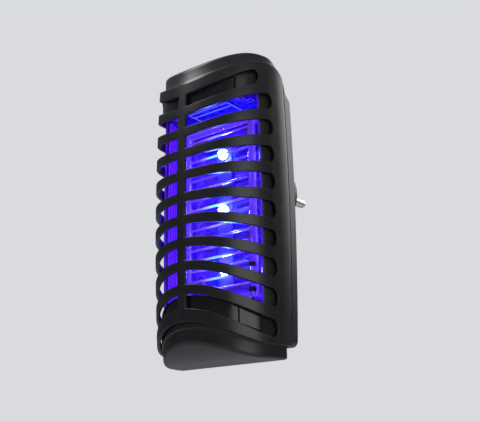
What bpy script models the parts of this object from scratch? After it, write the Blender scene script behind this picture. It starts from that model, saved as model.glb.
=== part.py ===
"""Plug-in electric bug zapper: bow-fronted slotted cage, lit high-voltage grid, pull-down insect tray.

Metres, +Z up. The origin is the centre of the plug's end face, +Y points into the wall socket,
and the bowed front faces -Y.
"""

import math

import bmesh
import bpy
from mathutils import Matrix, Vector

# Overall form
BODY_WIDTH = 0.0760
NOSE_DEPTH = 0.0373
SIDE_DEPTH = 0.0070
END_NARROWING = 0.0017
BACK_DEPTH = 0.0170
BACK_HALF_WIDTH = 0.0240
BACK_LOW = 0.0460
BACK_HIGH = 0.0520
BACK_CORNER = 0.0100
PLUG_ABOVE_MIDDLE = 0.0176

# Cage: rows of slots that fan out from the nose towards the wall
WINDOW_ROWS = 10
WINDOW_HEIGHT = 0.00684
SLAT_HEIGHT = 0.00465
POST_WIDTH = 0.0050
RING_HEIGHT = 0.0061
WINDOW_FLARE = 0.28
FLARE_DEPTH = 0.0360
WINDOW_END_TURN = 77.5
TOP_ROW_END_COLUMNS = 2
WINDOW_COLUMNS = 12
WINDOW_END_ROUND = 0.0022
WINDOW_END_SHARES = (0.0, 0.2, 0.5, 0.8, 1.0)
CAGE_WALL = 0.0018
RIM_DEPTH = 0.0050

# Ends of the body: stepped cap above, stepped tray below
END_RISE = 0.0113
END_RISE_DEPTH = 0.0260
CROWN_RADIUS = 0.0110
CROWN_SETBACK = 0.0033
TIER_HEIGHT = 0.0062
TIER_INSET = 0.0030
TIER_EDGE = 0.0010
SKIRT_WALL = 0.0015
FLOOR_WALL = 0.0018

# Rear housing
HOUSING_WALL = 0.0020
HOUSING_CORNER = 0.0030
SHOULDER_DEPTH = 0.0068
SHOULDER_SHARE = 0.45
SCREW_X = 0.0175
SCREW_LOW = 0.0360
SCREW_HIGH = 0.0430
SCREW_BOSS_DIAMETER = 0.0075
SCREW_SHANK_DIAMETER = 0.0030
SCREW_HEAD_DIAMETER = 0.0056
SCREW_HEAD_HEIGHT = 0.0022
SCREW_SEAT_DEPTH = 0.0090
SCREW_GRIP = 0.0045
STANDOFF_X = 0.0150
STANDOFF_DIAMETER = 0.0050
STANDOFF_INSET = 0.0060

# Inner tub and the pale reflector that lines it
TUB_WALL = 0.0013
TUB_SIDE_DEPTH = 0.0170
TUB_PANEL = 0.0012
REFLECTOR_WALL = 0.0008
REFLECTOR_SETBACK = 0.0006
REFLECTOR_RIBS = 4
REFLECTOR_RIB = 0.0009
CEILING_WALL = 0.0010
CEILING_SHARE = 0.82
PILLAR_DIAMETER = 0.0066

# High-voltage grid
GRID_HALF_WIDTH = 0.0220
GRID_HALF_HEIGHT = 0.0465
GRID_STANDOFF = 0.0042
GRID_POST = 0.0026
GRID_LEG_DIAMETER = 0.0021
BAR_DIAMETER = 0.0012
BUS_DIAMETER = 0.0016
BAR_PITCH = 0.0055
LEAD_DIAMETER = 0.0016
LEAD_DROP = 0.0028

# Lights and electronics
LED_BOARD_WIDTH = 0.0100
LED_BOARD_HEIGHT = 0.0780
LED_BOARD_THICKNESS = 0.0010
BOARD_THICKNESS = 0.0016
LED_PITCH = 0.0317
LED_RISE = 0.0011
LED_DIAMETER = 0.0050
LED_HEIGHT = 0.0036
LED_FLANGE = 0.0008
DRIVER_BOARD_WIDTH = 0.0400
DRIVER_BOARD_AHEAD = 0.0030
HEADER_WIDTH = 0.0080
HEADER_HEIGHT = 0.0040
DROPPER_SIZE = (0.0150, 0.0085, 0.0100)
MULTIPLIER_SIZE = (0.0075, 0.0070, 0.0045)
MULTIPLIER_PITCH = 0.0062
SMOOTHING_DIAMETER = 0.0063
SMOOTHING_HEIGHT = 0.0090
CAN_EDGE = 0.0004
CAN_GROOVE = 0.0014
DIODE_DIAMETER = 0.0027
DIODE_LENGTH = 0.0052
DIODE_LEAD_LENGTH = 0.0028
DIODE_LEAD_DIAMETER = 0.0008
DIODE_PITCH = 0.0042
RESISTOR_DIAMETER = 0.0030
RESISTOR_LENGTH = 0.0085
AXIAL_EDGE = 0.0004

# Plug
BOSS_DIAMETER = 0.0370
BOSS_LENGTH = 0.0160
BOSS_NOTCH_WIDTH = 0.0090
BOSS_NOTCH_DEPTH = 0.0040
SPIGOT_DIAMETER = 0.0280
SPIGOT_DEPTH = 0.0015
PIN_DIAMETER = 0.0048
PIN_LENGTH = 0.0190
PIN_SPACING = 0.0190
PIN_TAIL = 0.0035
STRAP_WIDTH = 0.0050
STRAP_THICKNESS = 0.0006
STRAP_REACH = 0.0040

# Gap kept between neighbouring pieces
CLEARANCE = 0.00035

# Facets of round work
ROUND_STEPS = 16
POST_STEPS = 12
SMALL_ROUND_STEPS = 8
BOW_STEPS = 14
TUB_SIDE_STEPS = 6
CORNER_STEPS = 4
SIDE_STEPS = 4

# Places that follow from the sizes above
BACK_Y = -BOSS_LENGTH
SEAM_Y = BACK_Y - BACK_DEPTH
BOW_Y = SEAM_Y - SIDE_DEPTH
NOSE_Y = BOW_Y - NOSE_DEPTH
CAGE_REAR_Y = SEAM_Y - RIM_DEPTH
MIDDLE_Z = -PLUG_ABOVE_MIDDLE
WINDOW_PITCH = WINDOW_HEIGHT + SLAT_HEIGHT
HALF_STACK = (WINDOW_ROWS * WINDOW_PITCH - SLAT_HEIGHT) / 2
FULL_END = HALF_STACK + RING_HEIGHT + END_RISE
SKIRT_INSET = CAGE_WALL + CLEARANCE
SKIRT_LEVEL = HALF_STACK - WINDOW_HEIGHT - SLAT_HEIGHT / 2
PANEL_REAR_Y = CAGE_REAR_Y - CLEARANCE
PANEL_FRONT_Y = PANEL_REAR_Y - TUB_PANEL
TUB_FRONT_Y = PANEL_REAR_Y - TUB_SIDE_DEPTH
REFLECTOR_REAR_Y = PANEL_FRONT_Y - CLEARANCE
REFLECTOR_FACE_Y = REFLECTOR_REAR_Y - REFLECTOR_WALL
HOUSING_INNER_BACK_Y = BACK_Y - HOUSING_WALL
LED_BOARD_REAR_Y = REFLECTOR_FACE_Y - CLEARANCE
LED_BOARD_FRONT_Y = LED_BOARD_REAR_Y - LED_BOARD_THICKNESS
LED_SEAT_Y = LED_BOARD_FRONT_Y - CLEARANCE
GRID_REAR_Y = REFLECTOR_FACE_Y - CLEARANCE - GRID_STANDOFF
GRID_FRONT_Y = GRID_REAR_Y - GRID_POST
COMB_Y = GRID_FRONT_Y - CLEARANCE - BUS_DIAMETER / 2
GRID_FOOT = GRID_HALF_HEIGHT + GRID_POST / 2
BAR_ROOM = GRID_HALF_HEIGHT - GRID_POST / 2 - BAR_DIAMETER / 2
BARS = 2 * int(BAR_ROOM / BAR_PITCH + 0.5)
DRIVER_BOARD_Y = SEAM_Y + DRIVER_BOARD_AHEAD
COMPONENT_SEAT_Y = DRIVER_BOARD_Y + BOARD_THICKNESS / 2 + CLEARANCE
BOARD_LOW = SCREW_LOW - SCREW_BOSS_DIAMETER / 2 - CLEARANCE
BOARD_HIGH = SCREW_HIGH - SCREW_BOSS_DIAMETER / 2 - CLEARANCE
PIN_TAIL_Y = HOUSING_INNER_BACK_Y - SPIGOT_DEPTH - PIN_TAIL


def clear_scene():
    for old in list(bpy.data.objects):
        bpy.data.objects.remove(old, do_unlink=True)


def new_collection(name):
    made = bpy.data.collections.new(name)
    bpy.context.scene.collection.children.link(made)
    return made


def new_material(name, colour, roughness, metallic=0.0):
    material = bpy.data.materials.new(name)
    material.use_nodes = True
    surface = material.node_tree.nodes["Principled BSDF"]
    surface.inputs["Base Color"].default_value = (*colour, 1.0)
    surface.inputs["Roughness"].default_value = roughness
    surface.inputs["Metallic"].default_value = metallic
    return material


clear_scene()
PARTS = new_collection("bug_zapper")
CUTTERS = new_collection("bug_zapper_cutters")

BLACK_SHELL = new_material("black_shell", (0.012, 0.012, 0.014), 0.38)
PALE_LINING = new_material("pale_lining", (0.80, 0.78, 0.86), 0.45)
CLEAR_FRAME = new_material("clear_frame", (0.86, 0.86, 0.92), 0.25)
STEEL_GRID = new_material("steel_grid", (0.62, 0.62, 0.65), 0.30, 1.0)
LED_LENS = new_material("led_lens", (0.45, 0.22, 0.95), 0.12)
BOARD_WHITE = new_material("board_white", (0.82, 0.82, 0.84), 0.50)
BOARD_GREEN = new_material("board_green", (0.05, 0.22, 0.10), 0.45)
CAPACITOR_BOX = new_material("capacitor_box", (0.75, 0.58, 0.12), 0.40)
CAPACITOR_SLEEVE = new_material("capacitor_sleeve", (0.05, 0.06, 0.12), 0.35)
DIODE_BODY = new_material("diode_body", (0.02, 0.02, 0.02), 0.35)
RESISTOR_BODY = new_material("resistor_body", (0.55, 0.42, 0.28), 0.50)
PIN_METAL = new_material("pin_metal", (0.78, 0.76, 0.72), 0.22, 1.0)
STRAP_BRASS = new_material("strap_brass", (0.75, 0.56, 0.22), 0.30, 1.0)
LEAD_RED = new_material("lead_red", (0.55, 0.04, 0.04), 0.45)
LEAD_BLACK = new_material("lead_black", (0.02, 0.02, 0.02), 0.45)
SCREW_STEEL = new_material("screw_steel", (0.45, 0.45, 0.47), 0.32, 1.0)
HEADER_BLACK = new_material("header_black", (0.03, 0.03, 0.03), 0.45)


def add_object(name, mesh, material, cutter=False):
    made = bpy.data.objects.new(name, mesh)
    if cutter:
        CUTTERS.objects.link(made)
        made.hide_render = True
        made.display_type = "WIRE"
    else:
        PARTS.objects.link(made)
        mesh.materials.append(material)
    return made


def mesh_from(name, builder, smooth_angle=None):
    """Makes a mesh with a function that fills a bmesh, its faces turned outward."""
    shape = bmesh.new()
    builder(shape)
    bmesh.ops.recalc_face_normals(shape, faces=shape.faces)
    mesh = bpy.data.meshes.new(name)
    shape.to_mesh(mesh)
    shape.free()
    if smooth_angle is not None:
        mesh.shade_smooth()
        mesh.set_sharp_from_angle(angle=math.radians(smooth_angle))
    return mesh


def add_boolean(target, cutter, operation):
    step = target.modifiers.new(operation.lower(), "BOOLEAN")
    step.object = cutter
    step.operation = operation
    step.solver = "EXACT"


def box_builder(low, high):
    """A box between two corners."""
    low, high = Vector(low), Vector(high)
    place = Matrix.Translation((low + high) / 2) @ Matrix.Diagonal((*(high - low), 1.0))

    def build(shape):
        bmesh.ops.create_cube(shape, size=1.0, matrix=place)

    return build


def prism_builder(outline, reach):
    """A flat outline carried along a straight line."""

    def build(shape):
        base = shape.faces.new([shape.verts.new(point) for point in outline])
        carried = bmesh.ops.extrude_face_region(shape, geom=[base])
        moved = [item for item in carried["geom"] if isinstance(item, bmesh.types.BMVert)]
        bmesh.ops.translate(shape, verts=moved, vec=reach)

    return build


def rods_builder(rods, steps):
    """Plain round rods, each given by its two ends and its diameter."""

    def build(shape):
        for start, end, diameter in rods:
            start, end = Vector(start), Vector(end)
            turn = Vector((0, 0, 1)).rotation_difference(end - start).to_matrix().to_4x4()
            place = Matrix.Translation((start + end) / 2) @ turn
            bmesh.ops.create_cone(
                shape, cap_ends=True, segments=steps, radius1=diameter / 2, radius2=diameter / 2,
                depth=(end - start).length, matrix=place,
            )

    return build


def add_turned(name, profile, base, direction, material, steps):
    """A turned piece: profile holds (radius, height) pairs from the far end down to the base."""
    mesh = bpy.data.meshes.new(name)
    points = [(radius, 0.0, height) for radius, height in profile]
    edges = [(i, i + 1) for i in range(len(points) - 1)]
    mesh.from_pydata(points, edges, [])
    made = add_object(name, mesh, material)
    made.location = base
    made.rotation_euler = Vector((0, 0, 1)).rotation_difference(Vector(direction)).to_euler()
    turn = made.modifiers.new("turned", "SCREW")
    turn.steps = steps
    turn.render_steps = steps
    turn.use_merge_vertices = True
    turn.merge_threshold = 0.00001
    turn.use_smooth_shade = False
    return made


def ease(share):
    """Rises from 0 to 1 and levels off there."""
    share = min(max(share, 0.0), 1.0)
    return 1 - (1 - share) ** 2


def flare(y):
    """How much the slots fan out at this depth."""
    return 1 + WINDOW_FLARE * ease((y - NOSE_Y) / FLARE_DEPTH)


def end_height(y, side):
    """Height of the body's end edge from its middle; the top (side 1) turns down at the rear."""
    height = HALF_STACK + RING_HEIGHT + END_RISE * ease((y - NOSE_Y) / END_RISE_DEPTH)
    turn = y - (SEAM_Y - CROWN_SETBACK - CROWN_RADIUS)
    if side > 0 and turn > 0:
        height -= CROWN_RADIUS - math.sqrt(max(CROWN_RADIUS ** 2 - turn ** 2, 0.0))
    return height


def narrowing(height):
    """Scale of the plan at a height from the middle: the sides draw in towards the ends."""
    return 1 - END_NARROWING / (BODY_WIDTH / 2) * (height / FULL_END) ** 2


def bow_turns(steps):
    """Angles along the bow from the nose round to the straight side."""
    return [math.pi / 2 * i / steps for i in range(steps + 1)]


def plan_loop(inset, rear_y, scale):
    """The D-shaped plan, from the left rear corner round the nose to the right rear corner."""
    across = BODY_WIDTH / 2 * scale - inset
    ahead = NOSE_DEPTH * scale - inset
    right = [(across * math.sin(t), BOW_Y - ahead * math.cos(t)) for t in bow_turns(BOW_STEPS)]
    right.append((across, rear_y))
    left = [(-x, y) for x, y in reversed(right[1:])]
    return left + right


def loft(shape, loops, strip_caps):
    """Skins closed loops of equal length and caps both ends, with strips across where not flat."""
    rings = [[shape.verts.new(point) for point in loop] for loop in loops]
    count = len(rings[0])
    for near, far in zip(rings, rings[1:]):
        for i in range(count):
            j = (i + 1) % count
            shape.faces.new((near[i], near[j], far[j], far[i]))
    for ring in (rings[0], rings[-1]):
        if not strip_caps:
            shape.faces.new(ring)
            continue
        for i in range(count // 2 - 1):
            shape.faces.new((ring[i], ring[i + 1], ring[count - 2 - i], ring[count - 1 - i]))
        if count % 2:
            middle = count // 2
            shape.faces.new((ring[middle - 1], ring[middle], ring[middle + 1]))


def cage_levels():
    """Heights of the slat edges at the nose, each with its slot's row and its share of the slot."""
    levels = [(-HALF_STACK - RING_HEIGHT, None, None)]
    for row in range(WINDOW_ROWS):
        low = -HALF_STACK + row * WINDOW_PITCH
        levels += [(low + share * WINDOW_HEIGHT, row, share) for share in WINDOW_END_SHARES]
    levels.append((HALF_STACK + RING_HEIGHT, None, None))
    return levels


def cage_height(level, y):
    """Height of a cage level at a depth, kept under the end edge."""
    side = 1 if level > 0 else -1
    edge = end_height(y, side)
    if abs(level) > HALF_STACK:
        return side * edge
    fan = HALF_STACK * flare(y)
    room = edge - RING_HEIGHT / 4
    return level * flare(y) * min(1.0, room / fan)


def cage_turns():
    """Angles round the bow of the cage's columns on one side, from the post to the straight side."""
    first = math.asin(POST_WIDTH / BODY_WIDTH)
    last = math.radians(WINDOW_END_TURN)
    step = (last - first) / WINDOW_COLUMNS
    slot_turns = [first + step * i for i in range(WINDOW_COLUMNS + 1)]
    return slot_turns + [(last + math.pi / 2) / 2, math.pi / 2]


def slot_end(row):
    """Column where a row's slots end; the top row is shorter."""
    shorter = TOP_ROW_END_COLUMNS if row == WINDOW_ROWS - 1 else 0
    return WINDOW_COLUMNS - shorter


def cage_point(turn, level):
    """A point of the cage's outer face on the right; a turn of None is the rear edge."""
    if turn is None:
        x, y = BODY_WIDTH / 2, CAGE_REAR_Y
    else:
        x, y = BODY_WIDTH / 2 * math.sin(turn), BOW_Y - NOSE_DEPTH * math.cos(turn)
    height = cage_height(level, y)
    scale = narrowing(height)
    if y < BOW_Y:
        y = BOW_Y - (BOW_Y - y) * scale
    return x * scale, y, MIDDLE_Z + height


def build_cage_skin(shape):
    """The cage's outer face with its slots left open and their ends rounded."""
    turns = cage_turns() + [None]
    levels = cage_levels()
    columns = [(-1, k) for k in reversed(range(len(turns)))] + [(1, k) for k in range(len(turns))]
    grid = []
    for level, row, share in levels:
        line = []
        for side, k in columns:
            turn = turns[k]
            if row is not None and k == slot_end(row):
                turn -= WINDOW_END_ROUND / NOSE_DEPTH * (2 * share - 1) ** 2
            x, y, z = cage_point(turn, level)
            line.append(shape.verts.new((side * x, y, z)))
        grid.append(line)
    for i in range(len(levels) - 1):
        row = levels[i][1]
        in_row = row is not None and row == levels[i + 1][1]
        for j in range(len(columns) - 1):
            near, far = columns[j], columns[j + 1]
            if in_row and near[0] == far[0] and max(near[1], far[1]) <= slot_end(row):
                continue
            shape.faces.new((grid[i][j], grid[i][j + 1], grid[i + 1][j + 1], grid[i + 1][j]))


def add_front_cage():
    cage = add_object("front_cage", mesh_from("front_cage", build_cage_skin), BLACK_SHELL)
    thickness = cage.modifiers.new("wall", "SOLIDIFY")
    thickness.thickness = CAGE_WALL
    thickness.offset = -1.0
    thickness.use_even_offset = True


def end_loops(side):
    """Loops of an end piece, from its outer face over the skirt and down its inside."""
    scale = narrowing(FULL_END)
    rear_y = CAGE_REAR_Y
    outer = plan_loop(TIER_INSET, rear_y, scale)
    eased = plan_loop(TIER_INSET + TIER_EDGE, rear_y - TIER_EDGE, scale)
    skirt = plan_loop(SKIRT_INSET, rear_y, scale)
    skirt_inner = plan_loop(SKIRT_INSET + SKIRT_WALL, rear_y - SKIRT_WALL, scale)
    tier_inner = plan_loop(TIER_INSET + SKIRT_WALL, rear_y - SKIRT_WALL, scale)

    def at(plan, rise):
        return [(x, y, MIDDLE_Z + side * (end_height(y, side) + rise)) for x, y in plan]

    def lip(plan):
        return [(x, y, MIDDLE_Z + side * SKIRT_LEVEL * flare(y)) for x, y in plan]

    return [
        at(eased, TIER_HEIGHT),
        at(outer, TIER_HEIGHT - TIER_EDGE),
        at(outer, 0.0),
        at(skirt, -CLEARANCE),
        lip(skirt),
        lip(skirt_inner),
        at(skirt_inner, -FLOOR_WALL),
        at(tier_inner, -FLOOR_WALL + CLEARANCE),
        at(tier_inner, TIER_HEIGHT - FLOOR_WALL),
    ]


def add_end_piece(name, side):
    """The top cap (side 1) or the insect tray (side -1): a stepped tier with a skirt inside the cage."""

    def build(shape):
        loft(shape, end_loops(side), strip_caps=True)

    return add_object(name, mesh_from(name, build, smooth_angle=35), BLACK_SHELL)


def front_loop(y, half, low, high, corner, inset=0.0):
    """A rounded upright rectangle at one depth, its long sides drawn in towards the ends."""
    half, low, high = half - inset, low + inset, high - inset
    corner = max(corner - inset, CLEARANCE)
    points = []
    foot, head = low + corner, high - corner
    centres = ((1, foot, -90), (1, head, 0), (-1, head, 90), (-1, foot, 180))
    for k, (side, z, start) in enumerate(centres):
        for i in range(CORNER_STEPS + 1):
            angle = math.radians(start + 90 * i / CORNER_STEPS)
            x = side * (half - corner) + corner * math.cos(angle)
            points.append((x, z + corner * math.sin(angle)))
        if k in (0, 2):
            far = centres[k + 1][1]
            for i in range(1, SIDE_STEPS):
                points.append((side * half, z + (far - z) * i / SIDE_STEPS))
    return [(x * narrowing(z), y, MIDDLE_Z + z) for x, z in points]


def housing_sections():
    """Depth, half width, low edge, high edge and corner of the housing, from its rim to its back."""
    rim_y = CAGE_REAR_Y + CLEARANCE
    knee_y = SEAM_Y - CROWN_SETBACK
    half = BODY_WIDTH / 2
    knee_high = end_height(knee_y, 1)
    seam = (half, -FULL_END, knee_high - CROWN_SETBACK, HOUSING_CORNER)
    back = (BACK_HALF_WIDTH, -BACK_LOW, BACK_HIGH, BACK_CORNER)
    shoulder = [near + (far - near) * SHOULDER_SHARE for near, far in zip(seam, back)]
    return [
        (rim_y, half, -FULL_END, end_height(rim_y, 1), HOUSING_CORNER),
        (knee_y, half, -FULL_END, knee_high, HOUSING_CORNER),
        (SEAM_Y, *seam),
        (SEAM_Y + SHOULDER_DEPTH, *shoulder),
        (BACK_Y, *back),
    ]


def screw_places():
    return [(side * SCREW_X, MIDDLE_Z + z) for z in (-SCREW_LOW, SCREW_HIGH) for side in (-1, 1)]


def standoff_places():
    return [
        (side * STANDOFF_X, MIDDLE_Z + z)
        for z in (-BOARD_LOW + STANDOFF_INSET, BOARD_HIGH - STANDOFF_INSET)
        for side in (-1, 1)
    ]


def add_rear_housing():
    sections = housing_sections()

    def build(shape):
        loops = [front_loop(*section) for section in reversed(sections)]
        loops += [front_loop(*section, inset=HOUSING_WALL) for section in sections[:-1]]
        loops.append(front_loop(HOUSING_INNER_BACK_Y, *sections[-1][1:], inset=HOUSING_WALL))
        loft(shape, loops, strip_caps=False)

    housing = add_object("rear_housing", mesh_from("rear_housing", build, smooth_angle=40), BLACK_SHELL)
    wall_middle_y = BACK_Y - HOUSING_WALL / 2
    boss_front_y = PANEL_REAR_Y + CLEARANCE
    posts = []
    for x, z in screw_places():
        posts.append(((x, boss_front_y, z), (x, wall_middle_y, z), SCREW_BOSS_DIAMETER))
    for x, z in standoff_places():
        posts.append(((x, COMPONENT_SEAT_Y, z), (x, wall_middle_y, z), STANDOFF_DIAMETER))
    post_mesh = mesh_from("housing_posts", rods_builder(posts, POST_STEPS))
    add_boolean(housing, add_object("housing_posts", post_mesh, None, cutter=True), "UNION")
    past = BACK_Y + HOUSING_WALL
    seat_y = BACK_Y - SCREW_SEAT_DEPTH
    head_way = SCREW_HEAD_DIAMETER + 2 * CLEARANCE
    holes = [((x, seat_y, z), (x, past, z), head_way) for x, z in screw_places()]
    head_mesh = mesh_from("screw_recesses", rods_builder(holes, POST_STEPS))
    add_boolean(housing, add_object("screw_recesses", head_mesh, None, cutter=True), "DIFFERENCE")
    ahead, through = boss_front_y - HOUSING_WALL, seat_y + HOUSING_WALL
    shank_way = SCREW_SHANK_DIAMETER + 2 * CLEARANCE
    shanks = [((x, ahead, z), (x, through, z), shank_way) for x, z in screw_places()]
    shank_mesh = mesh_from("screw_ways", rods_builder(shanks, POST_STEPS))
    add_boolean(housing, add_object("screw_ways", shank_mesh, None, cutter=True), "DIFFERENCE")
    spigot_way = SPIGOT_DIAMETER + 2 * CLEARANCE
    spigot = [((0, HOUSING_INNER_BACK_Y - HOUSING_WALL, 0), (0, past, 0), spigot_way)]
    spigot_mesh = mesh_from("spigot_way", rods_builder(spigot, 2 * ROUND_STEPS))
    add_boolean(housing, add_object("spigot_way", spigot_mesh, None, cutter=True), "DIFFERENCE")


def tub_half_height():
    return SKIRT_LEVEL * flare(TUB_FRONT_Y) - CLEARANCE


def tub_side(inset, turns):
    """A right wall of the tub in plan, from its front edge back along the cage."""
    scale = narrowing(tub_half_height())
    across = BODY_WIDTH / 2 * scale - inset
    ahead = NOSE_DEPTH * scale - inset
    return [(across * math.sin(t), BOW_Y - ahead * math.cos(t)) for t in turns]


def side_turns(front_y, spans):
    """Angles along a side wall from its front edge to the end of the bow."""
    front = math.acos((BOW_Y - front_y) / NOSE_DEPTH)
    return [front + (math.pi / 2 - front) * i / spans for i in range(spans + 1)]


def channel_mesh(name, outer, inner):
    """An upright channel from the plan of its right half: outer wall backwards, inner wall forwards."""
    right = outer[::-1] + inner
    outline = right + [(-x, y) for x, y in reversed(right)]
    low = MIDDLE_Z - tub_half_height()
    floor = [(x, y, low) for x, y in outline]
    return mesh_from(name, prism_builder(floor, (0, 0, 2 * tub_half_height())))


def cut_panel(target, front_y, rear_y, screw_way, screw_front_y):
    """Ways through a back panel for the screws or pillars, the grid leads and the header."""
    ahead, past = front_y - TUB_PANEL, rear_y + TUB_PANEL
    ways = [((x, screw_front_y, z), (x, past, z), screw_way) for x, z in screw_places()]
    for side in (-1, 1):
        x, z = side * GRID_HALF_WIDTH, lead_level()
        ways.append(((x, ahead, z), (x, past, z), LEAD_DIAMETER + 2 * CLEARANCE))
    way_mesh = mesh_from(target.name + "_ways", rods_builder(ways, POST_STEPS))
    add_boolean(target, add_object(target.name + "_ways", way_mesh, None, cutter=True), "DIFFERENCE")
    half_wide = HEADER_WIDTH / 2 + CLEARANCE
    half_tall = HEADER_HEIGHT / 2 + CLEARANCE
    slot = box_builder(
        (-half_wide, ahead, header_level() - half_tall), (half_wide, past, header_level() + half_tall)
    )
    slot_mesh = mesh_from(target.name + "_slot", slot)
    add_boolean(target, add_object(target.name + "_slot", slot_mesh, None, cutter=True), "DIFFERENCE")


def add_inner_tub():
    """Dark channel behind the slots: curved side walls, a flat back and pillars for the screws."""
    outer_inset = CAGE_WALL + CLEARANCE
    turns = side_turns(TUB_FRONT_Y, TUB_SIDE_STEPS)
    outer = tub_side(outer_inset, turns)
    outer.append((outer[-1][0], PANEL_REAR_Y))
    inner = tub_side(outer_inset + TUB_WALL, turns)
    inner.append((inner[-1][0], PANEL_FRONT_Y))
    tub = add_object("inner_tub", channel_mesh("inner_tub", outer, inner), BLACK_SHELL)
    middle_y = (PANEL_FRONT_Y + PANEL_REAR_Y) / 2
    pillar_y = PANEL_FRONT_Y - SCREW_GRIP
    pillars = [((x, pillar_y, z), (x, middle_y, z), PILLAR_DIAMETER) for x, z in screw_places()]
    pillar_mesh = mesh_from("tub_pillars", rods_builder(pillars, POST_STEPS))
    add_boolean(tub, add_object("tub_pillars", pillar_mesh, None, cutter=True), "UNION")
    screw_way = SCREW_SHANK_DIAMETER + 2 * CLEARANCE
    cut_panel(tub, PANEL_FRONT_Y, PANEL_REAR_Y, screw_way, pillar_y + TUB_WALL)


def add_reflectors():
    """Pale lining of the tub: a flat sheet at the back, ribbed liners at the sides, a ceiling above."""
    outer_inset = CAGE_WALL + TUB_WALL + 2 * CLEARANCE
    inner_inset = outer_inset + REFLECTOR_WALL
    spans = 2 * REFLECTOR_RIBS + 1
    turns = side_turns(TUB_FRONT_Y + REFLECTOR_SETBACK, spans)
    outer = tub_side(outer_inset, turns)
    outer.append((outer[-1][0], REFLECTOR_REAR_Y))
    smooth = tub_side(inner_inset, turns)
    ribbed = tub_side(inner_inset + REFLECTOR_RIB, turns)
    inner = [smooth[0]]
    for near in range(1, spans, 2):
        inner += [smooth[near], ribbed[near], ribbed[near + 1], smooth[near + 1]]
    inner += [smooth[spans], (smooth[spans][0], REFLECTOR_REAR_Y)]
    low, tall = MIDDLE_Z - tub_half_height(), 2 * tub_half_height()
    for name, side in (("side_reflector_left", -1), ("side_reflector_right", 1)):
        outline = [(side * x, y, low) for x, y in outer + inner[::-1]]
        add_object(name, mesh_from(name, prism_builder(outline, (0, 0, tall))), PALE_LINING)
    half = smooth[spans][0] - CLEARANCE
    sheet = box_builder((-half, REFLECTOR_FACE_Y, low), (half, REFLECTOR_REAR_Y, low + tall))
    reflector = add_object("reflector", mesh_from("reflector", sheet), PALE_LINING)
    pillar_way = PILLAR_DIAMETER + 2 * CLEARANCE
    ahead = REFLECTOR_FACE_Y - REFLECTOR_WALL
    cut_panel(reflector, REFLECTOR_FACE_Y, REFLECTOR_REAR_Y, pillar_way, ahead)
    add_ceiling(inner_inset + REFLECTOR_RIB + CLEARANCE)


def add_ceiling(inset):
    """Pale plate between the tops of the liners; it follows the bow to a straight front edge."""
    nose_depth = BOW_Y - tub_side(inset, [0.0])[0][1]
    rear_depth = BOW_Y - (REFLECTOR_FACE_Y - CLEARANCE)
    front, rear = math.acos(CEILING_SHARE), math.acos(rear_depth / nose_depth)
    turns = [front + (rear - front) * i / TUB_SIDE_STEPS for i in range(TUB_SIDE_STEPS + 1)]
    right = tub_side(inset, turns)
    outline = right + [(-x, y) for x, y in reversed(right)]
    low = MIDDLE_Z + tub_half_height() - CEILING_WALL
    floor = [(x, y, low) for x, y in outline]
    plate = prism_builder(floor, (0, 0, CEILING_WALL))
    add_object("upper_reflector", mesh_from("upper_reflector", plate), PALE_LINING)


def header_level():
    """Height of the board-to-board header, half way between two lights."""
    return MIDDLE_Z + LED_RISE - LED_PITCH / 2


def lead_level():
    """Height where the grid leads pass through the back panel, between the grid and the panel's edge."""
    return MIDDLE_Z - (GRID_FOOT + tub_half_height()) / 2


def add_grid_frame():
    half = GRID_HALF_WIDTH + GRID_POST / 2
    tall = GRID_FOOT
    outer = box_builder((-half, GRID_FRONT_Y, MIDDLE_Z - tall), (half, GRID_REAR_Y, MIDDLE_Z + tall))
    frame = add_object("grid_frame", mesh_from("grid_frame", outer), CLEAR_FRAME)
    gap, drop = half - GRID_POST, tall - GRID_POST
    inner = box_builder(
        (-gap, GRID_FRONT_Y - GRID_POST, MIDDLE_Z - drop),
        (gap, GRID_REAR_Y + GRID_POST, MIDDLE_Z + drop),
    )
    inner_mesh = mesh_from("grid_window", inner)
    add_boolean(frame, add_object("grid_window", inner_mesh, None, cutter=True), "DIFFERENCE")
    foot_y = REFLECTOR_FACE_Y - CLEARANCE
    middle_y = (GRID_FRONT_Y + GRID_REAR_Y) / 2
    legs = [
        ((x, middle_y, MIDDLE_Z + z), (x, foot_y, MIDDLE_Z + z), GRID_LEG_DIAMETER)
        for x in (-GRID_HALF_WIDTH, GRID_HALF_WIDTH)
        for z in (-GRID_HALF_HEIGHT, GRID_HALF_HEIGHT)
    ]
    leg_mesh = mesh_from("grid_legs", rods_builder(legs, SMALL_ROUND_STEPS))
    add_boolean(frame, add_object("grid_legs", leg_mesh, None, cutter=True), "UNION")


def add_grid_comb(name, side, first_bar):
    """A comb of bars on an upright bus; the two combs' bars lie between each other."""
    bus_x = side * GRID_HALF_WIDTH
    free_x = -side * (GRID_HALF_WIDTH - BUS_DIAMETER / 2 - CLEARANCE - BAR_DIAMETER / 2)
    top = GRID_HALF_HEIGHT - GRID_POST / 2
    foot = GRID_FOOT + CLEARANCE
    bus = [((bus_x, COMB_Y, MIDDLE_Z - foot), (bus_x, COMB_Y, MIDDLE_Z + top), BUS_DIAMETER)]
    comb = add_object(name, mesh_from(name, rods_builder(bus, SMALL_ROUND_STEPS)), STEEL_GRID)
    bars = []
    for k in range(first_bar, BARS, 2):
        z = MIDDLE_Z + (k - (BARS - 1) / 2) * BAR_PITCH
        bars.append(((bus_x, COMB_Y, z), (free_x, COMB_Y, z), BAR_DIAMETER))
    bar_mesh = mesh_from(name + "_bars", rods_builder(bars, SMALL_ROUND_STEPS))
    add_boolean(comb, add_object(name + "_bars", bar_mesh, None, cutter=True), "UNION")


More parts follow.
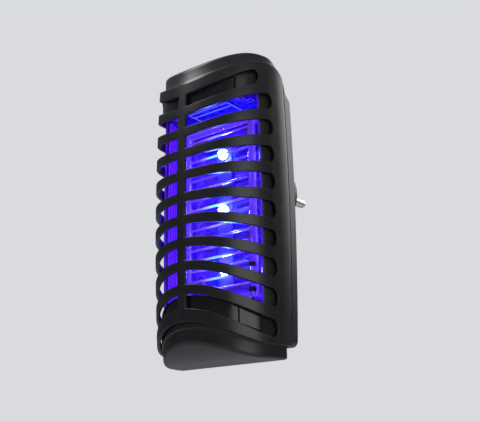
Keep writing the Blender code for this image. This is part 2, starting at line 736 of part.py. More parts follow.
def add_grid_lead(name, side, material):
    """Insulated lead from a comb's foot through the back panel to the driver board."""
    x = side * GRID_HALF_WIDTH
    start_z = MIDDLE_Z - GRID_FOOT - 2 * CLEARANCE
    turn_z = lead_level()
    pass_x = side * (SCREW_X + SCREW_BOSS_DIAMETER / 2 + LEAD_DIAMETER)
    pass_z = MIDDLE_Z - SCREW_LOW
    board_x = side * (DRIVER_BOARD_WIDTH / 2 - LEAD_DIAMETER)
    board_z = MIDDLE_Z - BOARD_LOW + 2 * LEAD_DIAMETER
    board_y = DRIVER_BOARD_Y - BOARD_THICKNESS / 2 - CLEARANCE
    drop, bend = start_z - turn_z, LEAD_DROP - LEAD_DIAMETER / 2
    behind_y = PANEL_REAR_Y + LEAD_DIAMETER
    run_y = behind_y + bend / 2
    points = [
        (x, COMB_Y, start_z),
        (x, COMB_Y + drop / 4, turn_z + drop / 4),
        (x, COMB_Y + drop, turn_z),
        (x, PANEL_FRONT_Y, turn_z),
        (x, behind_y, turn_z),
        (pass_x, run_y, turn_z + bend),
        (pass_x, run_y, pass_z),
        (pass_x, run_y, board_z - bend),
        (board_x, board_y - bend / 2, board_z),
        (board_x, board_y, board_z),
    ]
    curve = bpy.data.curves.new(name, "CURVE")
    curve.dimensions = "3D"
    curve.bevel_depth = LEAD_DIAMETER / 2
    curve.bevel_resolution = 1
    curve.use_fill_caps = True
    spline = curve.splines.new("POLY")
    spline.points.add(len(points) - 1)
    for point, place in zip(spline.points, points):
        point.co = (*place, 1.0)
    lead = bpy.data.objects.new(name, curve)
    PARTS.objects.link(lead)
    curve.materials.append(material)


def add_lights():
    half = LED_BOARD_WIDTH / 2
    tall = LED_BOARD_HEIGHT / 2
    board = box_builder(
        (-half, LED_BOARD_FRONT_Y, MIDDLE_Z - tall), (half, LED_BOARD_REAR_Y, MIDDLE_Z + tall)
    )
    add_object("led_board", mesh_from("led_board", board), BOARD_WHITE)
    radius = LED_DIAMETER / 2
    dome = [
        (radius * math.sin(t), LED_HEIGHT - radius * (1 - math.cos(t)))
        for t in (math.pi / 2 * i / CORNER_STEPS for i in range(CORNER_STEPS + 1))
    ]
    flange = radius + LED_FLANGE / 2
    profile = dome + [(radius, LED_FLANGE), (flange, LED_FLANGE), (flange, 0.0), (0.0, 0.0)]
    for name, step in (("uv_led_upper", 1), ("uv_led_middle", 0), ("uv_led_lower", -1)):
        base = (0.0, LED_SEAT_Y, MIDDLE_Z + LED_RISE + step * LED_PITCH)
        add_turned(name, profile, base, (0, -1, 0), LED_LENS, ROUND_STEPS)


def component_box(name, size, x, z, material):
    """A boxed component standing on the rear of the driver board."""
    wide, deep, tall = size
    low = (x - wide / 2, COMPONENT_SEAT_Y, z - tall / 2)
    high = (x + wide / 2, COMPONENT_SEAT_Y + deep, z + tall / 2)
    add_object(name, mesh_from(name, box_builder(low, high)), material)


def add_driver_board():
    half = DRIVER_BOARD_WIDTH / 2
    front_y = DRIVER_BOARD_Y - BOARD_THICKNESS / 2
    rear_y = DRIVER_BOARD_Y + BOARD_THICKNESS / 2
    board = box_builder((-half, front_y, MIDDLE_Z - BOARD_LOW), (half, rear_y, MIDDLE_Z + BOARD_HIGH))
    add_object("driver_board", mesh_from("driver_board", board), BOARD_GREEN)
    head_y = LED_BOARD_REAR_Y + CLEARANCE
    wide, tall, z = HEADER_WIDTH / 2, HEADER_HEIGHT / 2, header_level()
    header = box_builder((-wide, head_y, z - tall), (wide, front_y - CLEARANCE, z + tall))
    add_object("board_header", mesh_from("board_header", header), HEADER_BLACK)


def add_components():
    """Capacitors, diodes and the bleed resistor on the rear of the driver board."""
    row_z = MIDDLE_Z - BOARD_LOW + STANDOFF_INSET + STANDOFF_DIAMETER
    dropper_z = row_z + DROPPER_SIZE[2] / 2
    component_box("dropper_capacitor", DROPPER_SIZE, 0.0, dropper_z, CAPACITOR_BOX)
    side_x = DROPPER_SIZE[0] / 2 + CLEARANCE + MULTIPLIER_SIZE[0] / 2
    for k in range(4):
        side = -1 if k % 2 else 1
        z = row_z + MULTIPLIER_SIZE[2] / 2 + (k // 2) * MULTIPLIER_PITCH
        component_box(f"multiplier_capacitor_{k + 1}", MULTIPLIER_SIZE, side * side_x, z, CAPACITOR_BOX)
    radius = SMOOTHING_DIAMETER / 2
    groove_z = CAN_GROOVE
    waist, rim = radius - CAN_EDGE, SMOOTHING_HEIGHT - CAN_EDGE
    can = [
        (0.0, SMOOTHING_HEIGHT), (waist, SMOOTHING_HEIGHT), (radius, rim), (radius, groove_z + CAN_EDGE),
        (waist, groove_z), (radius, groove_z - CAN_EDGE), (radius, 0.0), (0.0, 0.0),
    ]
    can_z = dropper_z + DROPPER_SIZE[2] / 2 + CLEARANCE + radius
    seat = (0.0, COMPONENT_SEAT_Y, can_z)
    add_turned("smoothing_capacitor", can, seat, (0, 1, 0), CAPACITOR_SLEEVE, ROUND_STEPS)
    resistor_z = can_z + radius + CLEARANCE + RESISTOR_DIAMETER / 2
    add_axial("bleed_resistor", RESISTOR_DIAMETER, RESISTOR_LENGTH, 0.0, resistor_z, RESISTOR_BODY)
    diode_z = resistor_z + (RESISTOR_DIAMETER + DIODE_DIAMETER) / 2 + CLEARANCE
    diode_x = DIODE_LENGTH / 2 + DIODE_LEAD_LENGTH + CLEARANCE
    for k in range(4):
        side = -1 if k % 2 else 1
        z = diode_z + (k // 2) * DIODE_PITCH
        add_axial(f"multiplier_diode_{k + 1}", DIODE_DIAMETER, DIODE_LENGTH, side * diode_x, z, DIODE_BODY)


def add_axial(name, diameter, length, x, z, material):
    """An axial component lying across the board, with the stubs of its leads."""
    radius, lead = diameter / 2, DIODE_LEAD_DIAMETER / 2
    end = length / 2 + DIODE_LEAD_LENGTH
    half, waist = length / 2, radius - AXIAL_EDGE
    profile = [
        (0.0, end), (lead, end), (lead, half), (waist, half), (radius, half - AXIAL_EDGE),
        (radius, AXIAL_EDGE - half), (waist, -half), (lead, -half), (lead, -end), (0.0, -end),
    ]
    add_turned(name, profile, (x, COMPONENT_SEAT_Y + radius, z), (1, 0, 0), material, SMALL_ROUND_STEPS)


def pin_places():
    return [("left", -PIN_SPACING / 2), ("right", PIN_SPACING / 2)]


def add_plug():
    """Round plug boss with a spigot into the housing, earth-clip notches and two pins."""
    seat_y = BACK_Y + CLEARANCE
    spigot_y = HOUSING_INNER_BACK_Y - SPIGOT_DEPTH
    disc = rods_builder([((0, seat_y, 0), (0, 0, 0), BOSS_DIAMETER)], 2 * ROUND_STEPS)
    base = add_object("plug_base", mesh_from("plug_base", disc, smooth_angle=40), BLACK_SHELL)
    spigot_rod = ((0, spigot_y, 0), (0, seat_y + SPIGOT_DEPTH, 0), SPIGOT_DIAMETER)
    spigot_mesh = mesh_from("plug_spigot", rods_builder([spigot_rod], 2 * ROUND_STEPS))
    add_boolean(base, add_object("plug_spigot", spigot_mesh, None, cutter=True), "UNION")
    ways = []
    for _, x in pin_places():
        ways.append(((x, spigot_y - PIN_TAIL, 0), (x, PIN_TAIL, 0), PIN_DIAMETER + 2 * CLEARANCE))
    way_mesh = mesh_from("pin_ways", rods_builder(ways, ROUND_STEPS))
    add_boolean(base, add_object("pin_ways", way_mesh, None, cutter=True), "DIFFERENCE")
    half = BOSS_NOTCH_WIDTH / 2
    for name, side in (("upper_notch", 1), ("lower_notch", -1)):
        near, far = side * (BOSS_DIAMETER / 2 - BOSS_NOTCH_DEPTH), side * BOSS_DIAMETER
        notch = box_builder(
            (-half, seat_y + BOSS_NOTCH_DEPTH, min(near, far)),
            (half, PIN_TAIL, max(near, far)),
        )
        add_boolean(base, add_object(name, mesh_from(name, notch), None, cutter=True), "DIFFERENCE")
    radius = PIN_DIAMETER / 2
    tail = PIN_TAIL_Y
    length = PIN_LENGTH - tail
    tip = [
        (radius * math.sin(t), length - radius * (1 - math.cos(t)))
        for t in (math.pi / 2 * i / CORNER_STEPS for i in range(CORNER_STEPS + 1))
    ]
    profile = tip + [(radius, 0.0), (0.0, 0.0)]
    for name, x in pin_places():
        add_turned(f"plug_pin_{name}", profile, (x, tail, 0.0), (0, 1, 0), PIN_METAL, ROUND_STEPS)


def add_contact_straps():
    """Bent straps from the pins' tails down to the driver board."""
    head_y = PIN_TAIL_Y - CLEARANCE
    under_y = head_y - STRAP_THICKNESS
    seat_y = COMPONENT_SEAT_Y
    foot_y = seat_y + STRAP_THICKNESS
    leg = PIN_DIAMETER / 2
    leg_far = leg + STRAP_THICKNESS
    toe = leg + STRAP_REACH
    outline = [
        (head_y, -leg), (head_y, leg_far), (foot_y, leg_far), (foot_y, toe),
        (seat_y, toe), (seat_y, leg), (under_y, leg), (under_y, -leg),
    ]
    for name, x in pin_places():
        points = [(x - STRAP_WIDTH / 2, y, z) for y, z in outline]
        node = f"contact_strap_{name}"
        strap = mesh_from(node, prism_builder(points, (STRAP_WIDTH, 0, 0)))
        add_object(node, strap, STRAP_BRASS)


def add_housing_screws():
    """Screws from the recesses in the back, through the housing's bosses into the tub's pillars."""
    head_y = BACK_Y - SCREW_SEAT_DEPTH + CLEARANCE
    tip_y = PANEL_FRONT_Y - SCREW_GRIP + TUB_WALL + CLEARANCE
    radius, shank = SCREW_HEAD_DIAMETER / 2, SCREW_SHANK_DIAMETER / 2
    length = head_y - tip_y
    crown = SCREW_HEAD_HEIGHT / 2
    profile = [
        (0.0, SCREW_HEAD_HEIGHT), (radius - crown, SCREW_HEAD_HEIGHT), (radius, crown),
        (radius, 0.0), (shank, 0.0), (shank, shank - length), (shank / 2, -length), (0.0, -length),
    ]
    for k, (x, z) in enumerate(screw_places()):
        node, seat = f"housing_screw_{k + 1}", (x, head_y, z)
        add_turned(node, profile, seat, (0, 1, 0), SCREW_STEEL, SMALL_ROUND_STEPS)


add_front_cage()
add_end_piece("top_cap", 1)
add_end_piece("insect_tray", -1)
add_rear_housing()
add_inner_tub()
add_reflectors()
add_grid_frame()
add_grid_comb("live_grid", -1, 0)
add_grid_comb("return_grid", 1, 1)
add_grid_lead("hv_lead_live", -1, LEAD_RED)
add_grid_lead("hv_lead_return", 1, LEAD_BLACK)
add_lights()
add_driver_board()
add_components()
add_plug()
add_contact_straps()
add_housing_screws()
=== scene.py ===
"""Looks of a plug-in bug zapper: black slotted cage over a violet-lit grid, stepped cap, pull-down tray."""

import math

import bmesh
import bpy
from mathutils import Matrix, Quaternion, Vector


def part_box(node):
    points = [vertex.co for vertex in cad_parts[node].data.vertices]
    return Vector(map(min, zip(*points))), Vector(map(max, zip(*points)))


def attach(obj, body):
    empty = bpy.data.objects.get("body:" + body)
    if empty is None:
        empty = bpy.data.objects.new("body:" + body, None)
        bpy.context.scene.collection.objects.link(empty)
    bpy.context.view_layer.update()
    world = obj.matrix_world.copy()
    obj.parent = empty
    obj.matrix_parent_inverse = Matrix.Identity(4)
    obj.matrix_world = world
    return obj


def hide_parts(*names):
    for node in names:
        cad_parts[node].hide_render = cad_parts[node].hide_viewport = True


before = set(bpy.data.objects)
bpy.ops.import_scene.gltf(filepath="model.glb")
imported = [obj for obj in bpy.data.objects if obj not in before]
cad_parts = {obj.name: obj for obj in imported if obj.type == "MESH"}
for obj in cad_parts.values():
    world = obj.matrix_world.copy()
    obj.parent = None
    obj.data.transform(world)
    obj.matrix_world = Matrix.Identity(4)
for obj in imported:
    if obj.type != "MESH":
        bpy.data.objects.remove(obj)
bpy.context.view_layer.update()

# Body, as in the model
BODY_WIDTH = 0.0760
NOSE_DEPTH = 0.0373
BACK_Y = -0.0160
SEAM_Y = -0.0330
BOW_Y = -0.0400
CAGE_REAR_Y = -0.0380
NOSE_Y = BOW_Y - NOSE_DEPTH
MIDDLE_Z = -0.0176
END_NARROWING = 0.0017
GAP = 0.00035

# Cage
SLOT_ROWS = 10
SLOT_HEIGHT = 0.00684
SLAT_HEIGHT = 0.00465
POST_WIDTH = 0.0050
RING_HEIGHT = 0.0061
SLOT_FLARE = 0.28
FLARE_DEPTH = 0.0360
SLOT_END_TURN = math.radians(77.5)
SLOT_STEPS = 18
TOP_ROW_STEPS = 15
SLOT_END_ROUND = 0.0022
SLOT_END_RADIUS = (SLOT_HEIGHT ** 2 / 4 + SLOT_END_ROUND ** 2) / (2 * SLOT_END_ROUND)
SLOT_END_STEPS = 10
CAGE_WALL = 0.0018
CAGE_EASE = 0.00045
HALF_STACK = (SLOT_ROWS * (SLOT_HEIGHT + SLAT_HEIGHT) - SLAT_HEIGHT) / 2

# Stepped ends
END_RISE = 0.0113
END_RISE_DEPTH = 0.0260
CROWN_RADIUS = 0.0110
CROWN_SETBACK = 0.0033
TIER_HEIGHT = 0.0062
TIER_INSET = 0.0030
TIER_ROUND = 0.0013
TIER_ROUND_STEPS = 4
TIER_EASE = 0.0002
FACE_SHARES = (0.06, 0.3, 0.55, 0.78, 0.93)
FLOOR_SHARES = (0.9, 0.7, 0.4, 0.06)
SKIRT_WALL = 0.0015
SKIRT_INSET = CAGE_WALL + GAP
FLOOR_WALL = 0.0018
FULL_END = HALF_STACK + RING_HEIGHT + END_RISE
SKIRT_LEVEL = HALF_STACK - SLOT_HEIGHT - SLAT_HEIGHT / 2
PLAN_STEPS = 36
TAB_BAND = 14
TAB_TURNS = (math.radians(46.0), math.radians(66.0))
TAB_MARGIN = 0.0010
TAB_GROOVE = 0.0004

# Rear housing and plug
HOUSING_WALL = 0.0020
HOUSING_CORNER = 0.0030
HOUSING_EASE = 0.0006
CORNER_STEPS = 8
SIDE_STEPS = 12
BACK_HALF_WIDTH = 0.0240
BACK_LOW = 0.0460
BACK_HIGH = 0.0520
BACK_CORNER = 0.0100
SHOULDER_DEPTH = 0.0068
SHOULDER_SHARE = 0.45
SCREW_RECESS = 0.0063
SCREW_BOSS = 0.0075
SCREW_HEAD = 0.0022
SCREW_SHANK = 0.0030
SCREW_CROSS = (0.0006, 0.0030)
SCREW_CROSS_DEPTH = 0.0012
STANDOFF = 0.0050
STANDOFF_X = 0.0150
STANDOFF_INSET = 0.0060
BOSS_RADIUS = 0.0185
BOSS_ROUND = 0.0012
BOSS_EASE = 0.0006
FACE_RECESS = 0.0006
FACE_RECESS_RADIUS = 0.0148
SPIGOT_RADIUS = 0.0140
NOTCH_WIDTH = 0.0090
NOTCH_DEPTH = 0.0040

# Grid and lights
GRID_HALF_WIDTH = 0.0220
GRID_HALF_HEIGHT = 0.0465
GRID_POST = 0.0026
GRID_LEG = 0.0021
FRAME_EASE = 0.0004
WIRE_EASE = 0.0003
BAR_DIAMETER = 0.0012
BUS_DIAMETER = 0.0016
BAR_PITCH = 0.0055
BARS = 16
CLIP_LEVELS = (-0.0445, -0.0320)
CLIP_WIDTH = 0.0030
CLIP_HEIGHT = 0.0024
LENS_RADIUS = 0.0025
LENS_FLANGE = 0.0008
LENS_EASE = 0.0002

# Ceiling over the grid
CEILING_RIB = 0.0008
CEILING_RIB_X = 0.0130
CEILING_RIB_ROWS = (-0.0515, -0.0558)
CEILING_EYES = ((0.0212, -0.0545), (0.0240, -0.0500))
CEILING_EYE = 0.0022
CEILING_COLLAR = 0.0007

# Levels at which the tub and its side liners are shaped
SWELL_STEPS = 10

# Edges that turn by less are shaded smooth, in degrees
SMOOTH_TURN = 35.0
END_SMOOTH_TURN = 28.0

# How far a cutting shape reaches past what it cuts
CUT_PAST = 0.0020

# View
VIEW_TURN = math.radians(37.87)
VIEW_RISE = math.radians(-17.03)
VIEW_ROLL = math.radians(1.0)
VIEW_DISTANCE = 0.4259
VIEW_LENS = 60.0
VIEW_SHIFT = (0.0086, 0.0141)
BACKDROP = (0.70, 0.71, 0.74, 1.0)
FLOOR_Z = -0.42
FLOOR_RADIUS = 4.0


# Finishes

def new_finish(name):
    finish = bpy.data.materials.new(name)
    finish.use_nodes = True
    return finish, finish.node_tree, finish.node_tree.nodes["Principled BSDF"]


def add_node(tree, kind, values=None, **settings):
    node = tree.nodes.new(kind)
    for key, value in settings.items():
        setattr(node, key, value)
    for key, value in (values or {}).items():
        node.inputs[key].default_value = value
    return node


def coordinates(tree):
    return add_node(tree, "ShaderNodeTexCoord").outputs["Object"]


def grain(tree, scale, detail=3.0, stretch=(1.0, 1.0, 1.0)):
    """Noise on the piece's own coordinates; a stretch draws it out along an axis."""
    drawn = add_node(tree, "ShaderNodeMapping", {"Scale": stretch})
    noise = add_node(tree, "ShaderNodeTexNoise", {"Scale": scale, "Detail": detail})
    tree.links.new(coordinates(tree), drawn.inputs["Vector"])
    tree.links.new(drawn.outputs["Vector"], noise.inputs["Vector"])
    return noise.outputs["Fac"]


def between(tree, source, low, high, start=0.3, end=0.7):
    """A value that runs from low to high as the source runs from start to end."""
    limits = {"From Min": start, "From Max": end, "To Min": low, "To Max": high}
    node = add_node(tree, "ShaderNodeMapRange", limits)
    tree.links.new(source, node.inputs["Value"])
    return node.outputs["Result"]


def tones(tree, source, dark, light, start=0.3, end=0.7, beyond=None):
    """A colour that runs from dark to light as the source runs from start to end, and on to a third."""
    node = add_node(tree, "ShaderNodeValToRGB")
    for stop, place, colour in zip(node.color_ramp.elements, (start, end), (dark, light)):
        stop.position = place
        stop.color = (*colour, 1.0)
    if beyond:
        node.color_ramp.elements.new(1.0).color = (*beyond, 1.0)
    tree.links.new(source, node.inputs["Fac"])
    return node.outputs["Color"]


def relief(tree, surface, source, depth, strength=0.5):
    node = add_node(tree, "ShaderNodeBump", {"Strength": strength, "Distance": depth})
    tree.links.new(source, node.inputs["Height"])
    tree.links.new(node.outputs["Normal"], surface.inputs["Normal"])


def moulded_finish(name, dark, light, gloss, texture=3500.0, depth=0.00002):
    """Moulded plastic: faint mottling, uneven gloss and the fine texture of the mould."""
    finish, tree, surface = new_finish(name)
    mottle = grain(tree, 90.0)
    tree.links.new(tones(tree, mottle, dark, light), surface.inputs["Base Color"])
    patches = grain(tree, 260.0, 5.0)
    tree.links.new(between(tree, patches, *gloss), surface.inputs["Roughness"])
    relief(tree, surface, grain(tree, texture, 2.0), depth)
    return finish


def metal_finish(name, dark, light, gloss, stretch):
    """Drawn or plated metal with fine lines along one axis."""
    finish, tree, surface = new_finish(name)
    lines = grain(tree, 700.0, 4.0, stretch)
    tree.links.new(tones(tree, lines, dark, light), surface.inputs["Base Color"])
    tree.links.new(between(tree, lines, *gloss), surface.inputs["Roughness"])
    relief(tree, surface, lines, 0.00001, 0.3)
    surface.inputs["Metallic"].default_value = 1.0
    return finish


def light_places():
    """Where the three lights stand, from their boxes in the model."""
    places = []
    for node in ("uv_led_upper", "uv_led_middle", "uv_led_lower"):
        low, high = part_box(node)
        places.append(Vector(((low.x + high.x) / 2, low.y, (low.z + high.z) / 2)))
    return places


def glow(tree, reach, peak):
    """Strength of the violet light that falls on a surface, fading away from each light."""
    total = None
    for place in light_places():
        away = add_node(tree, "ShaderNodeVectorMath", operation="DISTANCE")
        away.inputs[1].default_value = place
        tree.links.new(coordinates(tree), away.inputs[0])
        limits = {"From Min": 0.0, "From Max": reach, "To Min": peak, "To Max": 0.0}
        fade = add_node(tree, "ShaderNodeMapRange", limits, interpolation_type="SMOOTHERSTEP")
        tree.links.new(away.outputs["Value"], fade.inputs["Value"])
        if total is None:
            total = fade.outputs["Result"]
            continue
        both = add_node(tree, "ShaderNodeMath", operation="MAXIMUM")
        tree.links.new(total, both.inputs[0])
        tree.links.new(fade.outputs["Result"], both.inputs[1])
        total = both.outputs["Value"]
    return total


VIOLET = (0.12, 0.008, 1.0, 1.0)
DEEP_BLUE = (0.03, 0.003, 1.0, 1.0)
LILAC = (0.22, 0.050, 1.0, 1.0)
LIGHT_BLUE = (0.05, 0.085, 1.0, 1.0)
POOL_BLUE = (0.10, 0.42, 1.0, 1.0)


def shine(tree, surface, wash, pool, spread):
    """Violet light caught by a surface: a wash of it all over and a pool of blue close to each light."""
    near = glow(tree, *pool)
    pooled = between(tree, near, 0.0, 1.0, 0.0, pool[1])
    tree.links.new(tones(tree, pooled, wash[:3], POOL_BLUE[:3], 0.1, 0.9), surface.inputs["Emission Color"])
    both = add_node(tree, "ShaderNodeMath", operation="ADD")
    tree.links.new(glow(tree, *spread), both.inputs[0])
    tree.links.new(near, both.inputs[1])
    tree.links.new(both.outputs["Value"], surface.inputs["Emission Strength"])


def lining_finish(name, dark, light, gloss, metal, spread=(0.055, 0.50), wash=VIOLET, pool=(0.013, 1.0)):
    """Lining washed with painted violet light: violet base colours and a violet glow from the lights; the
    sheet behind them is nearly a mirror.
    """
    finish, tree, surface = new_finish(name)
    tree.links.new(tones(tree, grain(tree, 120.0), dark, light), surface.inputs["Base Color"])
    tree.links.new(between(tree, grain(tree, 300.0), *gloss), surface.inputs["Roughness"])
    relief(tree, surface, grain(tree, 2500.0, 2.0), 0.00001)
    surface.inputs["Metallic"].default_value = metal
    surface.inputs["Specular IOR Level"].default_value = 0.2
    shine(tree, surface, wash, pool, spread)
    return finish


def pillar_finish(name):
    """Black screw pillars in front of the sheet, faintly lit by the violet lights."""
    finish = moulded_finish(name, (0.006, 0.006, 0.008), (0.010, 0.010, 0.012), (0.40, 0.52))
    tree = finish.node_tree
    shine(tree, tree.nodes["Principled BSDF"], VIOLET, (0.013, 0.5), (0.060, 0.25))
    return finish


def ribbed_lining_finish(name):
    """Lining of the sides: the faces that look inwards catch the most light, the sides of the ribs less."""
    finish = lining_finish(name, (0.07, 0.030, 0.50), (0.10, 0.045, 0.62), (0.22, 0.36), 0.0, (0.085, 1.3))
    tree = finish.node_tree
    surface = tree.nodes["Principled BSDF"]
    facing = add_node(tree, "ShaderNodeSeparateXYZ")
    inwards = add_node(tree, "ShaderNodeMath", operation="ABSOLUTE")
    caught = add_node(tree, "ShaderNodeMath", operation="MULTIPLY")
    tree.links.new(add_node(tree, "ShaderNodeTexCoord").outputs["Normal"], facing.inputs["Vector"])
    tree.links.new(facing.outputs["X"], inwards.inputs[0])
    tree.links.new(surface.inputs["Emission Strength"].links[0].from_socket, caught.inputs[0])
    tree.links.new(between(tree, inwards.outputs["Value"], 0.25, 1.0, 0.3, 0.9), caught.inputs[1])
    tree.links.new(caught.outputs["Value"], surface.inputs["Emission Strength"])
    return finish


def clear_finish(name):
    """Clear moulded frame, tinted lilac, with a painted violet glow that fades away from each light."""
    finish, tree, surface = new_finish(name)
    streaks = grain(tree, 500.0, 3.0, (1.0, 1.0, 0.15))
    colour = tones(tree, streaks, (0.46, 0.34, 0.98), (0.62, 0.50, 1.0))
    tree.links.new(colour, surface.inputs["Base Color"])
    tree.links.new(between(tree, streaks, 0.06, 0.18), surface.inputs["Roughness"])
    relief(tree, surface, streaks, 0.00002, 0.3)
    surface.inputs["Transmission Weight"].default_value = 0.92
    surface.inputs["IOR"].default_value = 1.49
    surface.inputs["Emission Color"].default_value = (0.22, 0.07, 1.0, 1.0)
    tree.links.new(glow(tree, 0.060, 0.25), surface.inputs["Emission Strength"])
    return finish


def wire_finish(name):
    """Drawn wire, lilac in the lights' glow and blue where it passes one: its blue-tinted base colour and
    its glow are painted violet light.
    """
    finish = metal_finish(name, (0.24, 0.22, 0.66), (0.34, 0.32, 0.82), (0.16, 0.28), (0.08, 1.0, 1.0))
    tree = finish.node_tree
    surface = tree.nodes["Principled BSDF"]
    shine(tree, surface, LILAC, (0.017, 2.2), (0.065, 0.42))
    return finish


def light_finish(name):
    """Lit lens: white-hot at its crown, violet towards its flange."""
    finish, tree, surface = new_finish(name)
    mottle = grain(tree, 900.0)
    colour = tones(tree, mottle, (0.55, 0.40, 1.0), (0.75, 0.62, 1.0))
    tree.links.new(colour, surface.inputs["Base Color"])
    tree.links.new(between(tree, mottle, 0.08, 0.16), surface.inputs["Roughness"])
    surface.inputs["Emission Color"].default_value = LIGHT_BLUE
    tree.links.new(glow(tree, 0.0052, 1500.0), surface.inputs["Emission Strength"])
    return finish


def board_finish(name, dark, light, track):
    """Lacquered board with tracks that show faintly through the lacquer."""
    finish, tree, surface = new_finish(name)
    bands = add_node(tree, "ShaderNodeTexWave", {"Scale": 170.0, "Distortion": 9.0, "Detail": 0.0})
    bands.bands_direction = "Z"
    tree.links.new(coordinates(tree), bands.inputs["Vector"])
    shade = add_node(tree, "ShaderNodeMath", operation="ADD")
    tree.links.new(between(tree, grain(tree, 400.0), 0.0, 0.4), shade.inputs[0])
    tree.links.new(between(tree, bands.outputs["Fac"], 0.0, 0.5, 0.72, 0.78), shade.inputs[1])
    colour = tones(tree, shade.outputs["Value"], dark, light, 0.0, 0.4, track)
    tree.links.new(colour, surface.inputs["Base Color"])
    tree.links.new(between(tree, grain(tree, 900.0), 0.28, 0.45), surface.inputs["Roughness"])
    relief(tree, surface, bands.outputs["Fac"], 0.00003, 0.4)
    return finish


def banded_finish(name, ground, band, centre, pitch):
    """Lacquered axial component with rings of paint round its body."""
    finish, tree, surface = new_finish(name)
    split = add_node(tree, "ShaderNodeSeparateXYZ")
    tree.links.new(coordinates(tree), split.inputs["Vector"])
    ring = add_node(tree, "ShaderNodeMath", operation="PINGPONG")
    offset = add_node(tree, "ShaderNodeMath", {1: centre}, operation="SUBTRACT")
    tree.links.new(split.outputs["X"], offset.inputs[0])
    tree.links.new(offset.outputs["Value"], ring.inputs[0])
    ring.inputs[1].default_value = pitch
    share = between(tree, ring.outputs["Value"], 0.0, 1.0, 0.0, pitch)
    tree.links.new(tones(tree, share, band, ground, 0.3, 0.34), surface.inputs["Base Color"])
    tree.links.new(between(tree, grain(tree, 1200.0), 0.3, 0.5), surface.inputs["Roughness"])
    relief(tree, surface, grain(tree, 2600.0), 0.00003)
    return finish


SHELL = moulded_finish(
    "shell_black", (0.009, 0.009, 0.011), (0.014, 0.014, 0.017), (0.30, 0.35), depth=0.000007
)
SKIRT = moulded_finish(
    "skirt_gloss_black", (0.010, 0.010, 0.012), (0.016, 0.016, 0.019), (0.14, 0.24), depth=0.00001
)
TUB = moulded_finish("tub_black", (0.006, 0.006, 0.008), (0.010, 0.010, 0.012), (0.40, 0.52))
PILLAR = pillar_finish("pillar_lit_black")
PLUG = moulded_finish(
    "plug_black", (0.010, 0.010, 0.011), (0.016, 0.016, 0.018), (0.42, 0.55), 2600.0, 0.00003
)
# Lining finishes: their violet base colours and glow are painted violet light from the three lights; the
# ribs take a brighter copy than the ceiling
CEILING = lining_finish(
    "ceiling_painted_violet_light", (0.02, 0.012, 0.34), (0.03, 0.018, 0.42), (0.22, 0.36), 0.0,
    spread=(0.055, 0.26), wash=DEEP_BLUE,
)
RIB = lining_finish(
    "rib_painted_violet_light", (0.07, 0.030, 0.50), (0.10, 0.045, 0.62), (0.22, 0.36), 0.0,
    spread=(0.060, 0.7), wash=LILAC, pool=(0.045, 1.0),
)
RIBBED_LINING = ribbed_lining_finish("ribbed_lining_painted_violet_light")
MIRROR = lining_finish(
    "sheet_painted_violet_light", (0.24, 0.10, 0.85), (0.30, 0.13, 0.92), (0.05, 0.10), 0.9,
    spread=(0.055, 0.36), wash=DEEP_BLUE,
)
CLEAR = clear_finish("frame_clear")
GRID_WIRE = wire_finish("grid_wire")
LIGHT = light_finish("light_violet")
# The light board's violet tones are painted violet light from its lights
LIGHT_BOARD = board_finish("light_board", (0.10, 0.055, 0.55), (0.13, 0.075, 0.62), (0.07, 0.035, 0.46))
DRIVER_BOARD = board_finish("driver_lacquer", (0.02, 0.12, 0.05), (0.03, 0.17, 0.07), (0.07, 0.28, 0.11))
HEADER = moulded_finish("header_black", (0.014, 0.014, 0.014), (0.024, 0.024, 0.024), (0.45, 0.6), 1800.0)
CAPACITOR = moulded_finish(
    "capacitor_ochre", (0.52, 0.36, 0.05), (0.62, 0.44, 0.08), (0.3, 0.45), 1500.0, 0.00004
)
SLEEVE = moulded_finish("sleeve_navy", (0.018, 0.024, 0.060), (0.028, 0.036, 0.085), (0.25, 0.36), 2000.0)
DIODE = banded_finish("diode_black", (0.012, 0.012, 0.013), (0.55, 0.55, 0.55), 0.0018, 0.0051)
RESISTOR = banded_finish("resistor_tan", (0.42, 0.30, 0.17), (0.28, 0.05, 0.03), 0.0004, 0.0014)
PIN = metal_finish("pin_nickel", (0.62, 0.60, 0.56), (0.78, 0.76, 0.72), (0.18, 0.30), (1.0, 0.06, 1.0))
STRAP = metal_finish("strap_brass", (0.60, 0.40, 0.12), (0.74, 0.54, 0.20), (0.24, 0.38), (0.06, 1.0, 1.0))
LEAD_RED = moulded_finish("lead_red", (0.34, 0.018, 0.016), (0.46, 0.030, 0.026), (0.38, 0.5), 1500.0)
LEAD_BLACK = moulded_finish("lead_black", (0.012, 0.012, 0.012), (0.022, 0.022, 0.022), (0.38, 0.5), 1500.0)
SCREW = metal_finish("screw_zinc", (0.36, 0.36, 0.38), (0.52, 0.52, 0.55), (0.24, 0.40), (1.0, 0.1, 1.0))


# Making and placing

def mesh_of(name, shape, smooth=SMOOTH_TURN):
    """Turns a bmesh into a mesh, rounded edges shaded smooth and sharp ones kept."""
    mesh = bpy.data.meshes.new(name)
    shape.to_mesh(mesh)
    shape.free()
    if "custom_normal" in mesh.attributes:
        mesh.attributes.remove(mesh.attributes["custom_normal"])
    mesh.shade_smooth()
    mesh.set_sharp_from_angle(angle=math.radians(smooth))
    return mesh


def add_piece(name, shape, finish, nodes, body="housing", smooth=SMOOTH_TURN):
    piece = bpy.data.objects.new(name, mesh_of(name, shape, smooth))
    bpy.context.scene.collection.objects.link(piece)
    piece.data.materials.append(finish)
    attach(piece, body)
    if nodes:
        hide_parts(*nodes)
    return piece


def settle(piece):
    """Makes a piece's modifiers part of its mesh."""
    graph = bpy.context.evaluated_depsgraph_get()
    made = bpy.data.meshes.new_from_object(piece.evaluated_get(graph))
    piece.modifiers.clear()
    piece.data = made
    made.shade_smooth()
    made.set_sharp_from_angle(angle=math.radians(SMOOTH_TURN))


